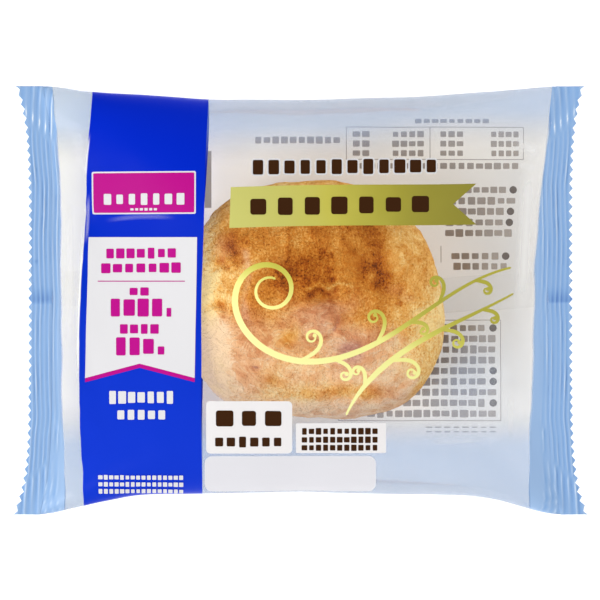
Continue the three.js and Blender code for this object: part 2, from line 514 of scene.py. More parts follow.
class Film:
    """The settled film: places and outward directions for film coordinates, and the way back."""

    def __init__(self, net):
        self.net = net
        across = np.roll(net, -1, 1) - np.roll(net, 1, 1)
        normal = np.cross(np.gradient(net, axis=0), across)
        self.normal = normal / np.maximum(np.linalg.norm(normal, axis=-1, keepdims=True), 1e-9)

    def read(self, table, u, v):
        """A table of the net's nodes, read smoothly between them and round the tube."""
        columns, around = table.shape[:2]
        table = np.concatenate((2 * table[:1] - table[1:2], table, 2 * table[-1:] - table[-2:-1]))
        row = (u / FILM_LENGTH + 0.5) * (columns - 1)
        column = (v / FILM_WIDTH + 0.5) * (around // 2)
        i = np.clip(np.floor(row), 0, columns - 2).astype(int)
        j = np.floor(column).astype(int)
        wi, wj = cubic(np.clip(row - i, 0.0, 1.0)), cubic(column - j)
        total = 0.0
        for a in range(4):
            for b in range(4):
                total = total + (wi[..., a] * wj[..., b])[..., None] * table[i + a, (j + b - 1) % around]
        return total

    def place(self, u, v):
        return self.read(self.net, u, v)

    def lifted(self, u, v, lift):
        """Places on the film with its small wrinkles, raised by lift along its outward direction."""
        return self.place(u, v) + self.read(self.normal, u, v) * (wrinkle(u, v) + lift)[..., None]

    def find(self, plan, back=False):
        """Film coordinates of what shows at plan points, on the front or on the back."""
        u, v = plan[..., 0].copy(), plan[..., 1].copy()
        for _ in range(FIND_PASSES):
            miss = plan - shown(self.place(u, FILM_WIDTH - v if back else v))
            u = np.clip(u + miss[..., 0], -FILM_LENGTH / 2, FILM_LENGTH / 2)
            v = np.clip(v + miss[..., 1], -FILM_WIDTH / 2, FILM_WIDTH / 2)
        return u, FILM_WIDTH - v if back else v

    def ring_line(self, line):
        """u of a print line all round the tube, which shows at X = line(Y) and is mirrored to the back."""
        v = np.linspace(-FILM_WIDTH / 2, FILM_WIDTH / 2, RING_HALF + 1)
        u = line(v)
        for _ in range(FIND_PASSES):
            seen = shown(self.place(u, v))
            u = u + line(seen[:, 1]) - seen[:, 0]
        return np.concatenate((u, u[-2:0:-1]))


PLEAT_HEIGHT, PLEAT_PITCH, PLEAT_REACH = 0.32, 4.6, 7.0
CRINKLE_HEIGHT, CRINKLE_PITCH = 0.16, 13.0
RIPPLE_HEIGHT, RIPPLE_PITCH = 0.42, 6.5
RIPPLE_AT, RIPPLE_REACH = -58.3, 2.6  # along the tube, at the blue print's left edge
CALM = 2.5  # from a seal, within which the wrinkles sink


def wrinkle(u, v):
    """Height of the film's small wrinkles: pleats that run in from the seals and die away, soft
    crinkles everywhere, and a row of ripples where the blue print's left edge stiffens the film."""
    turn = v * np.pi / FILM_WIDTH
    round_tube = np.stack((u, np.cos(turn) * FILM_WIDTH / np.pi, np.sin(turn) * FILM_WIDTH / np.pi), axis=-1)
    from_seal = np.maximum(SEAL_START - np.abs(u), 0.0)
    drawn_out = np.stack((u * 0.12, v), axis=-1)
    pleats = PLEAT_HEIGHT * noise(drawn_out, PLEAT_PITCH, 5.0) * np.exp(-from_seal / PLEAT_REACH)
    crinkles = CRINKLE_HEIGHT * rough(round_tube, CRINKLE_PITCH, 2, 2.0)
    slanted = np.stack((u * 0.35 + 0.2 * v, v), axis=-1)
    ripples = RIPPLE_HEIGHT * noise(slanted, RIPPLE_PITCH, 8.0) * bell(u, RIPPLE_AT, RIPPLE_REACH)
    return (pleats + crinkles + ripples) * smooth(0.0, CALM, from_seal)


@functools.lru_cache(maxsize=1)
def settled_film(shape):
    """The film round a puff, settled once: a coarse net with the puff growing in it, then a finer one."""
    net = None
    for columns, rows, steps, passes in NET_LEVELS:
        growing = net is None
        net = flat_net(columns, rows) if growing else finer_net(net, columns, rows)
        net = settle(net, steps, passes, growing, shape)
    return Film(fit_outline(net))


# ------------------------------------------------------------------------------------------- meshes
def grid_faces(rows, columns, wrap=False):
    """Four-sided faces between the neighbouring points of a grid. With wrap, its last column is joined
    to the first."""
    index = np.arange(rows * columns).reshape(rows, columns)
    beside = np.roll(index, -1, axis=1)
    last = columns if wrap else columns - 1
    quads = np.stack((index[:-1], index[1:], beside[1:], beside[:-1]), axis=-1)
    return quads[:, :last].reshape(-1, 4)


def rim(rows, columns):
    """The points round the edge of a grid, in order."""
    index = np.arange(rows * columns).reshape(rows, columns)
    return np.concatenate((index[:-1, 0], index[-1, :-1], index[:0:-1, -1], index[0, :0:-1]))


def slab(top, bottom):
    """A closed sheet with thickness: a top grid, a bottom grid and a wall round them."""
    rows, columns = top.shape[:2]
    count = rows * columns
    upper = grid_faces(rows, columns)
    edge = rim(rows, columns)
    beside = np.roll(edge, -1)
    wall = np.stack((edge, edge + count, beside + count, beside), axis=-1)
    points = np.concatenate((top.reshape(-1, 3), bottom.reshape(-1, 3)))
    return points, [np.concatenate((upper, upper[:, ::-1] + count, wall))]


CASTS_SHADOW = ("puff", "seal_left", "seal_right")  # the film is thin enough to let the light on


def add_object(name, data):
    """An object of the scene: a mesh, a light or a camera."""
    item = bpy.data.objects.new(name, data)
    bpy.context.scene.collection.objects.link(item)
    return item


def make_piece(name, points, faces, finish, values):
    """A smooth mesh object from points in millimetres, with named values at its points."""
    mesh = bpy.data.meshes.new(name)
    mesh.vertices.add(len(points))
    mesh.vertices.foreach_set("co", (np.asarray(points) * MM).astype(np.float32).ravel())
    sizes = np.concatenate([np.full(len(group), group.shape[1]) for group in faces])
    corners = np.concatenate([group.ravel() for group in faces])
    mesh.loops.add(len(corners))
    mesh.loops.foreach_set("vertex_index", corners.astype(np.int32))
    mesh.polygons.add(len(sizes))
    mesh.polygons.foreach_set("loop_start", (np.cumsum(sizes) - sizes).astype(np.int32))
    mesh.update(calc_edges=True)
    if mesh.validate():
        raise RuntimeError(f"{name}: its mesh had faults")
    mesh.shade_smooth()
    for label, value in values.items():
        layer = mesh.attributes.new(label, "FLOAT", "POINT")
        layer.data.foreach_set("value", np.asarray(value, np.float32).ravel())
    piece = add_object(name, mesh)
    mesh.materials.append(finish)
    piece.visible_shadow = name in CASTS_SHADOW
    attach(piece, "root")
    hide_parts("pack")


# ---------------------------------------------------------------------------------------- materials
class Value:
    """A number that varies over a surface. Arithmetic on it adds Math nodes to its material."""

    def __init__(self, finish, socket):
        self.finish = finish
        self.socket = socket

    def math(self, operation, *terms):
        node = self.finish.add("ShaderNodeMath", {"operation": operation}, dict(enumerate(terms)))
        return Value(self.finish, node.outputs[0])

    def __add__(self, other):
        return self.math("ADD", self, other)

    def __sub__(self, other):
        return self.math("SUBTRACT", self, other)

    def __rsub__(self, other):
        return self.math("SUBTRACT", other, self)

    def __mul__(self, other):
        return self.math("MULTIPLY", self, other)

    def __abs__(self):
        return self.math("ABSOLUTE", self)

    __radd__ = __add__
    __rmul__ = __mul__

    def between(self, low, high):
        """0 below low, 1 above high and a smooth rise between."""
        node = self.finish.add(
            "ShaderNodeMapRange",
            {"interpolation_type": "SMOOTHSTEP"},
            {"Value": self, "From Min": low, "From Max": high},
        )
        return Value(self.finish, node.outputs[0])


class Finish:
    """A material, or the world, that is being put together, and the way in which nodes are added to it."""

    def __init__(self, name, world=False):
        self.block = bpy.data.worlds.new(name) if world else bpy.data.materials.new(name)
        self.block.use_nodes = True
        self.output = "ShaderNodeOutputWorld" if world else "ShaderNodeOutputMaterial"
        self.nodes = self.block.node_tree.nodes
        self.nodes.clear()

    def add(self, kind, settings=None, sockets=None):
        """A node of one type: its settings first, then the values or links of its sockets."""
        node = self.nodes.new(kind)
        for name, value in (settings or {}).items():
            if name == "stops":
                ramp = node.color_ramp
                while len(ramp.elements) < len(value):
                    ramp.elements.new(1.0)
                for element, (position, colour) in zip(ramp.elements, value):
                    element.position = position
                    element.color = (*colour, 1.0)
            else:
                setattr(node, name, value)
        for name, value in (sockets or {}).items():
            self.put(node.inputs[name], value)
        return node

    def put(self, socket, value):
        if isinstance(value, Value):
            value = value.socket
        if isinstance(value, bpy.types.NodeSocket):
            self.block.node_tree.links.new(value, socket)
        elif socket.type == "RGBA":
            socket.default_value = (*value, 1.0)
        else:
            socket.default_value = value

    def attribute(self, name):
        return Value(self, self.add("ShaderNodeAttribute", {"attribute_name": name}).outputs["Fac"])

    def axes(self, output):
        """X, Y and Z of one of the texture coordinates."""
        place = self.add("ShaderNodeTexCoord").outputs[output]
        return [Value(self, part) for part in self.add("ShaderNodeSeparateXYZ", None, {0: place}).outputs]

    def noise(self, scale, detail, stretch=(1.0, 1.0, 1.0), **sockets):
        """Noise on Object coordinates. The scale is in cells to the metre."""
        coordinates = self.add("ShaderNodeTexCoord").outputs["Object"]
        mapped = self.add("ShaderNodeMapping", None, {"Vector": coordinates, "Scale": stretch}).outputs[0]
        inputs = {"Vector": mapped, "Scale": scale, "Detail": detail, **sockets}
        return Value(self, self.add("ShaderNodeTexNoise", None, inputs).outputs["Fac"])

    def ramp(self, value, *stops):
        return self.add("ShaderNodeValToRGB", {"stops": stops}, {"Fac": value}).outputs["Color"]

    def mix(self, factor, first, second):
        """A mix of two colours."""
        return self.add("ShaderNodeMix", {"data_type": "RGBA"}, {0: factor, 6: first, 7: second}).outputs[2]

    def bump(self, height, distance, strength):
        sockets = {"Height": height, "Distance": distance, "Strength": strength}
        return self.add("ShaderNodeBump", None, sockets).outputs[0]

    def principled(self, **sockets):
        """A Principled shader. A socket's name has _ for its spaces."""
        named = {name.replace("_", " "): value for name, value in sockets.items()}
        return self.add("ShaderNodeBsdfPrincipled", None, named).outputs[0]

    def clear(self, colour=(1.0, 1.0, 1.0)):
        """A shader that lets the light through, as much of each colour as is given."""
        return self.add("ShaderNodeBsdfTransparent", None, {"Color": colour}).outputs[0]

    def blend(self, factor, first, second):
        """A mix of two shaders."""
        return self.add("ShaderNodeMixShader", None, {0: factor, 1: first, 2: second}).outputs[0]

    def done(self, shader):
        self.add(self.output, None, {"Surface": shader})
        return self.block


def shared(name, make, *arguments):
    """A finish that several pieces have: made at its first use, and found by its name after that."""
    return bpy.data.materials.get(name) or make(name, *arguments)


WASH_COVER = 0.36  # how much of what lies behind it the strongest wash hides
FILM_INDEX = 1.45  # refractive


def clear_film_finish(name, colours, clearness, haze, shine):
    """Clear film: mostly see-through, a little milky, washed with colour where "tint" says, greyed with
    painted shade where the tint is faint, and glossy.
    """
    finish = Finish(name)
    tint = finish.attribute("tint")
    milk = finish.noise(55.0, 3.0).between(0.3, 0.75)
    body = finish.principled(
        Base_Color=finish.ramp(tint, (0.0, colours.milk), (0.2, colours.wash), (0.9, colours.tint)),
        Roughness=0.45,
        Specular_IOR_Level=0.1,
    )
    see_through = finish.blend(tint * WASH_COVER + milk * haze * 2.0 + haze, finish.clear(clearness), body)
    gloss = finish.add("ShaderNodeBsdfGlossy", None, {"Color": (1.0, 1.0, 1.0), "Roughness": 0.1}).outputs[0]
    edge = Value(finish, finish.add("ShaderNodeFresnel", None, {"IOR": FILM_INDEX}).outputs[0])
    return finish.done(finish.blend(edge * shine, see_through, gloss))


def print_finish(name, colour, roughness):
    """Ink on film: one colour, with a little of the film's gloss."""
    finish = Finish(name)
    return finish.done(finish.principled(Base_Color=colour, Roughness=roughness, Specular_IOR_Level=0.02))


def sheen_painted_finish(name, direction, reach, gloss, *stops):
    """Ink whose colour goes through the stops along a direction of the plan: a painted sheen, lighter where
    the ink would face the light and darker where it turns from it. The reach is where it begins and ends, in
    metres."""
    finish = Finish(name)
    x, y, _ = finish.axes("Object")
    drift = (finish.noise(70.0, 2.0) - 0.5) * (0.25 * (reach[1] - reach[0]))
    way = x * direction[0] + y * direction[1] + drift
    colour = finish.ramp(way.between(*reach), *stops)
    return finish.done(finish.principled(Base_Color=colour, Roughness=0.28, Specular_IOR_Level=gloss))


def seal_finish(name, colours, fades=False):
    """Sky-blue film. Its ramp value is a little higher where the film is crimped, and paints light and shade
    on the crimp: 0 for painted glints on the ridges, through paler crests, to 1 for painted shade in the
    grooves and along the seam's step. Film that fades is clear where its "fade" is 1."""
    finish = Finish(name)
    crimp = finish.attribute("crimp")
    colour = finish.ramp(
        crimp + crimp * (finish.noise(26.0, 2.0) - 0.5) * 0.3,
        (0.0, colours.glint),
        (0.14, colours.ridge),
        (PLAIN, colours.plain),
        (0.6, colours.slope),
        (0.8, colours.groove),
        (1.0, colours.deep),
    )
    body = finish.principled(Base_Color=colour, Roughness=0.34, Specular_IOR_Level=0.2)
    if fades:
        body = finish.blend(finish.attribute("fade"), body, finish.clear(colours.window))
    return finish.done(body)


# ----------------------------------------------------------------------------------- pieces of film
STRIP_LEFT = ((-56.0, -62.4), (8.0, -63.0), (33.0, -63.2), (43.3, -64.3), (56.5, -65.7))  # (Y, X)
BAND_LEFT = ((-54.1, -57.2), (-35.1, -58.2), (-9.8, -58.5), (5.3, -57.9), (14.8, -57.2), (23.0, -56.6),
             (39.1, -56.1), (48.3, -55.3), (54.9, -55.0))
BAND_RIGHT = ((-50.8, -25.9), (-30.1, -26.3), (-16.4, -26.1), (0.0, -26.3), (20.3, -25.5), (39.1, -25.0),
              (52.8, -24.3))
WINDOW_RIGHT = ((-54.0, 60.6), (-30.0, 60.6), (-20.0, 61.1), (8.0, 61.6), (28.0, 63.0), (45.7, 65.5),
                (56.5, 66.6))


def uneven(points, depth, pitch, y):
    """X of a printed edge at Y: a rounded line through points that wanders by depth, as the film puckers."""
    return along(points, y) + depth * rough(y[:, None], pitch, 2, 9.0)


WASH_TOP = (34.0, 48.5)  # Y over which the wash along the upper edge rises, further up at the right
WASH_RISE, WASH_RISE_X = 4.0, (5.0, 45.0)
WASH_BOTTOM = (-25.0, -41.0)  # Y over which it rises towards the lower edge
SHADOW_PAINT_X, SHADOW_PAINT_Y = (44.0, 14.0), (-21.0, 15.0)  # middle and reach of the painted shadow on the back


def film_wash(places, on_back):
    """Strength of the wash: printed along the upper and lower edges, and on the back behind the small rows a
    painted shadow of the puff.
    """
    x, y = np.moveaxis(shown(places), -1, 0)
    top = smooth(*WASH_TOP, y - WASH_RISE * smooth(*WASH_RISE_X, x))
    wash = np.where(y > 0, top, smooth(*WASH_BOTTOM, y))
    # A painted shadow of the puff on the back, behind the box of small rows.
    veil = BACK_SHADOW_PAINT * bell(x, *SHADOW_PAINT_X) * bell(y, *SHADOW_PAINT_Y)
    return np.where(on_back, np.maximum(wash, veil), wash)


def film_ring(film, settings, start, end, rows):
    """Places of a ring of film from start to end along the tube, with its wash, which on the back holds a
    painted shadow, its ramp value, which holds the painted light and shade of the ridges, and how far it has
    faded out where it meets the print. The seal's ridges run on into it a little."""
    u = start + (end - start) * np.linspace(0.0, 1.0, rows)[:, None]
    v = np.broadcast_to(-FILM_WIDTH / 2 + np.arange(2 * RING_HALF) * FILM_WIDTH / RING_HALF, u.shape)
    on_back = v > FILM_WIDTH / 2
    across = np.where(on_back, FILM_WIDTH - v, v)
    from_seal = SEAL_START - np.abs(u)
    ridges, _ = seal_ridges(SEAL_DEPTH + from_seal, across, in_mm(settings.ridge_pitch))
    ridged = smooth(RIDGES_END, RIDGES_FULL, from_seal - flare(across))
    ridges = ridges * ridged
    in_from_fold = smooth(0.0, FOLD_CALM, FILM_WIDTH / 2 - np.abs(across))
    height = in_mm(settings.ridge_height) * ridges * in_from_fold * np.where(on_back, -1.0, 1.0)
    places = film.lifted(u, v, height)
    wash = film_wash(places, on_back)
    from_print = np.abs(u - np.where(np.abs(start) < np.abs(end), start, end))
    return places, {
        "tint": wash,
        "crimp": PLAIN + CRIMPED * ridged - RIDGE_SHADE_PAINT * ridges,
        "fade": smooth(FADE, 0.0, from_print) * (1.0 - wash),
    }


def build_film(film, settings, inks):
    """The tube of film as five rings: sky-blue ends, a clear strip, the blue band and the clear window."""
    lines = (
        np.full(2 * RING_HALF, -SEAL_START),
        film.ring_line(functools.partial(uneven, STRIP_LEFT, 0.2, 7.0)),
        film.ring_line(functools.partial(uneven, BAND_LEFT, 0.14, 5.0)),
        film.ring_line(functools.partial(along, BAND_RIGHT)),
        film.ring_line(functools.partial(uneven, WINDOW_RIGHT, 0.15, 9.0)),
        np.full(2 * RING_HALF, SEAL_START),
    )
    sky = seal_finish("end_film", settings, fades=True)
    blue = sheen_painted_finish(
        "blue_print", (0.1, 1.0), (-0.05, 0.045), 0.02,
        (0.0, inks.blue_low), (0.5, inks.blue_middle), (1.0, inks.blue_high),
    )
    clear = clear_film_finish("clear_film", settings, settings.window, settings.haze, settings.shine)
    strip = clear_film_finish("strip_film", settings, settings.strip, settings.haze, settings.shine)
    rings = (
        ("film_end_left", sky, "sealed_film", END_CELL),
        ("film_strip", strip, "clear_film", CELL),
        ("blue_band", blue, "blue_print", CELL),
        ("film_window", clear, "clear_film", CELL),
        ("film_end_right", sky, "sealed_film", END_CELL),
    )
    for start, end, (name, finish, slot, cell) in zip(lines[:-1], lines[1:], rings):
        rows = max(3, math.ceil(np.mean(end - start) / cell)) + 1
        places, values = film_ring(film, settings, start, end, rows)
        faces = grid_faces(rows, 2 * RING_HALF, wrap=True)
        make_piece(name, places.reshape(-1, 3), [faces], finish, values)


def flare(v):
    """How far the cut edge stands out at v, past its middle, which the filling has drawn in."""
    return (END_CORNER - END_MIDDLE) * np.abs(v / (FILM_WIDTH / 2)) ** END_POWER


# Ridges of a seal
DRIFTS = ((0.5, 17.0, 1.0), (0.22, 6.0, 2.0))  # how far they wander across the pack, pitch and seed
LEAN, LEAN_RUN = 1.1, 16.0  # how far the middle's ridges lean inwards, and over how much of v
CORNER_BREAK = 46.6  # where the ridges of a flat corner stop against those of the drawn-in middle
CORNER_SLANT, CORNER_MIDDLE = 0.85, 2.5  # how that break slants with the depth, about a depth
CORNER_STRETCH = 0.45  # how much wider apart the corner's ridges are
WAVE = ((1.0, 0.0), (0.4, 0.8), (0.2, 0.0))  # strength and shift of the cosines that shape a ridge
GLINT_IN, GLINT_WIDTH = 2.6, 1.7  # from the break to where the painted glints are strongest, and its half width
# Strength of the painted glints at the upper and the lower corners.
GLINT_TOP, GLINT_BOTTOM = 0.9, 0.15


def seal_ridges(d, v, pitch):
    """A seal's crimped ridges as a wave from about -1 to 1, and the strength of the painted glints on them,
    for distances d from the cut edge and v across, and the pitch of the ridges.

    They run straight across the pack, so the cut edge flares away from them. They drift with v and lean
    inwards. Where the flat corners begin they break and go on wider apart, and there painted highlights lie
    on their crests, mostly at the upper corners. They swell and fade a little, each in its own way."""
    away = np.abs(v)
    drift = sum(depth * noise(v[..., None], every, seed) for depth, every, seed in DRIFTS)
    lean = LEAN * smooth(CORNER_BREAK, CORNER_BREAK - LEAN_RUN, away)
    middle = CORNER_BREAK - CORNER_SLANT * (d - CORNER_MIDDLE)
    corner = smooth(middle - 0.6, middle + 0.6, away)
    phase = (d - flare(v) + drift - lean + 0.5 * pitch * corner) / (pitch * (1.0 + CORNER_STRETCH * corner))
    swell = 0.8 + 0.45 * noise(np.stack((d * 3.0, v), axis=-1), 7.0, 4.0)
    swell = swell * (1.0 - 0.8 * bell(away, middle, 1.0))
    turn = 2 * np.pi * phase
    wave = sum(part * np.cos(times * turn + shift) for times, (part, shift) in enumerate(WAVE, 1))
    own = 0.85 + 0.35 * np.sin(4.1 * np.round(phase) + 0.09 * v)
    glint = smooth(0.55, 0.95, np.cos(turn)) * bell(away, middle + GLINT_IN, GLINT_WIDTH)
    return swell * own * wave, glint * np.where(v > 0.0, GLINT_TOP, GLINT_BOTTOM)


STEP_HEIGHT, STEP_RISE, STEP_FALL = 0.25, 0.15, 3.0  # the last two along Y


def seam_step(y):
    """Height of the step that the folded seam makes in a seal: sharp below, falling away above."""
    rise = smooth(SEAM_LOW - STEP_RISE, SEAM_LOW, y)
    return STEP_HEIGHT * rise * (1.0 - smooth(SEAM_LOW, SEAM_LOW + STEP_FALL, y))


SEAL_ROWS = 27  # of points, in front of the teeth
TOOTH_FOOT = 0.15  # from the last of them to the bottoms of the teeth
TOOTH_ROWS = (0.34, 0.67, 1.0)  # shares of the way from there to the cut edge
NICK = (10.0, 0.3), (2.3, 0.6)  # a dark nick in the left seal: its Y and depth, each with a reach
INNER_DARKER, STEP_SHADE_PAINT, NICK_DARKER = 0.06, 0.30, 0.45  # how much they add to the ramp value: darker film inwards, painted shade along the seam's step, a dark nick
GLINT_LIGHTER = 0.5  # how much a full painted glint takes from it
THIN_EDGE = 0.15  # a seal's thickness at its inner edge, against the rest


def seal_grid(film, side, tooth_depth):
    """Middle of a seal's sheet as a grid whose last rows end in the teeth, with its outward direction, its
    depth from the tips of the teeth, and v."""
    steps = 4 * TOOTH_COUNT
    v = np.linspace(-FILM_WIDTH / 2, FILM_WIDTH / 2, steps + 1)
    tooth = 1 - np.abs(np.arange(steps + 1) % 4 - 2) / 2.0  # 0 at a tip, 1 in a valley
    tooth = tooth * tooth_depth * (1.0 + 0.3 * noise(v[:, None], 13.0, 6.0))
    foot = tooth_depth + TOOTH_FOOT
    straight = np.linspace(SEAL_DEPTH, foot, SEAL_ROWS)[:, None] + 0.0 * v
    depth = np.concatenate((straight, [foot + (tooth - foot) * share for share in TOOTH_ROWS]))
    v = np.broadcast_to(v, depth.shape)
    middle = film.place(side * (FILM_LENGTH / 2 - depth), v)
    even = middle[:SEAL_ROWS]
    normal = side * np.cross(np.gradient(even, axis=0), np.gradient(even, axis=1))
    normal /= np.linalg.norm(normal, axis=-1, keepdims=True)
    normal = np.concatenate((normal, np.repeat(normal[-1:], len(TOOTH_ROWS), axis=0)))
    return [grid[::side] for grid in (middle, normal, depth, v)]


def build_seal(film, settings, side):
    """One crimped end: a thin slab, ridged along its length and cut to teeth along its outer edge."""
    middle, normal, depth, v = seal_grid(film, side, in_mm(settings.tooth_depth))
    y = middle[..., 1]
    flat_end = smooth(0.0, 1.0, depth) * smooth(0.0, 0.8, SEAL_DEPTH - depth)
    ridges, glint = seal_ridges(depth, v, in_mm(settings.ridge_pitch))
    ridges = ridges * (0.4 + 0.6 * flat_end)
    height = in_mm(settings.ridge_height) * ridges + seam_step(y)
    inner = smooth(0.0, 0.9, SEAL_DEPTH - depth)
    # Ramp value: crimped film a little darker and darker inwards, painted highlight and shade on the ridges,
    # painted glints, painted shade along the seam's step, and a dark nick in the left seal.
    crimp = PLAIN + CRIMPED + INNER_DARKER * inner - RIDGE_SHADE_PAINT * ridges - GLINT_LIGHTER * glint
    # Painted shade along the seam's step.
    crimp = crimp + STEP_SHADE_PAINT * smooth(4.5, SEAM_LOW, y) * smooth(SEAM_LOW - 0.25, SEAM_LOW, y)
    crimp = crimp + NICK_DARKER * bell(y, *NICK[0]) * bell(depth, *NICK[1]) * (side < 0)
    half = in_mm(settings.seal_thickness) / 2 * (THIN_EDGE + (1.0 - THIN_EDGE) * inner)
    front, back = (middle + normal * (height + way * half)[..., None] for way in (1, -1))
    points, faces = slab(front, back)
    finish = shared("sealed_film", seal_finish, settings)
    make_piece("seal_left" if side < 0 else "seal_right", points, faces, finish,
               {"crimp": np.tile(crimp.ravel(), 2)})


SEAM_ROWS, SEAM_COLUMNS = 120, 10
SEAM_OVERLAP = 0.5  # how far the seam's ends reach into the seals
SEAM_COLOUR = (0.995, 0.994, 0.993)  # light that it lets through


def build_seam(film, settings):
    """The folded seam along the back: a thin strip that lies against the film from seal to seal."""
    reach = SEAL_START + SEAM_OVERLAP
    u = np.linspace(-reach, reach, SEAM_ROWS)[:, None]
    y = np.linspace(SEAM_HIGH, SEAM_LOW, SEAM_COLUMNS)[None, :]
    u, y = np.broadcast_arrays(u, y + 0.25 * np.sin(u * 0.09) + 0.1 * np.sin(u * 0.31))
    v = FILM_WIDTH - y
    inner = film.lifted(u, v, SEAM_LIFT)
    outer = film.lifted(u, v, SEAM_LIFT + in_mm(settings.seam_thickness))
    outer[..., 2] = np.maximum(outer[..., 2], LOWEST_SEAM)
    points, faces = slab(outer, inner)
    finish = clear_film_finish("seam_film", settings, SEAM_COLOUR, 0.001, 0.1)
    make_piece("back_seam", points, faces, finish, {"tint": np.zeros(len(points))})


# -------------------------------------------------------------------------------------------- puff
PUFF_RINGS = 300
PUFF_STEPS = 320
RAY_FLATNESS = 0.6  # of the rays that the grid is laid out by, so that its points lie evenly
CAP = (3.0, 9.0, 16.0, 11.5, -8.0)  # the crown's dark cap: x, y, half length, half width and turn
BROAD, CRAGGY, FINE = (17.0, 2, 21.0), (7.5, 3, 24.0), (2.1, 3, 30.0)  # noise: pitch, octaves and seed
BULGE, BULGE_X, BULGE_Y = 1.4, (38.0, 4.0), (-7.0, 8.0)  # of the right end, with its middle and reach


def blob(plan, x, y, long, wide, turn=0.0):
    """A soft round or oval mark: a bell of the distance from (x, y), in its own two half sizes."""
    angle = math.radians(turn)
    dx, dy = plan[..., 0] - x, plan[..., 1] - y
    a = (dx * math.cos(angle) + dy * math.sin(angle)) / long
    b = (dy * math.cos(angle) - dx * math.sin(angle)) / wide
    return np.exp(-(a ** 2 + b ** 2))


def crease(plan, points, width):
    """A soft line: a bell of the distance from a path through given plan points."""
    nearest = np.full(plan.shape[:-1], 1e9)
    for start, end in zip(points[:-1], points[1:]):
        start, reach = np.array(start), np.array(end) - np.array(start)
        share = np.clip(((plan - start) @ reach) / (reach @ reach), 0.0, 1.0)
        gap = np.linalg.norm(plan - start - share[..., None] * reach, axis=-1)
        nearest = np.minimum(nearest, gap)
    return np.exp(-((nearest / width) ** 2))


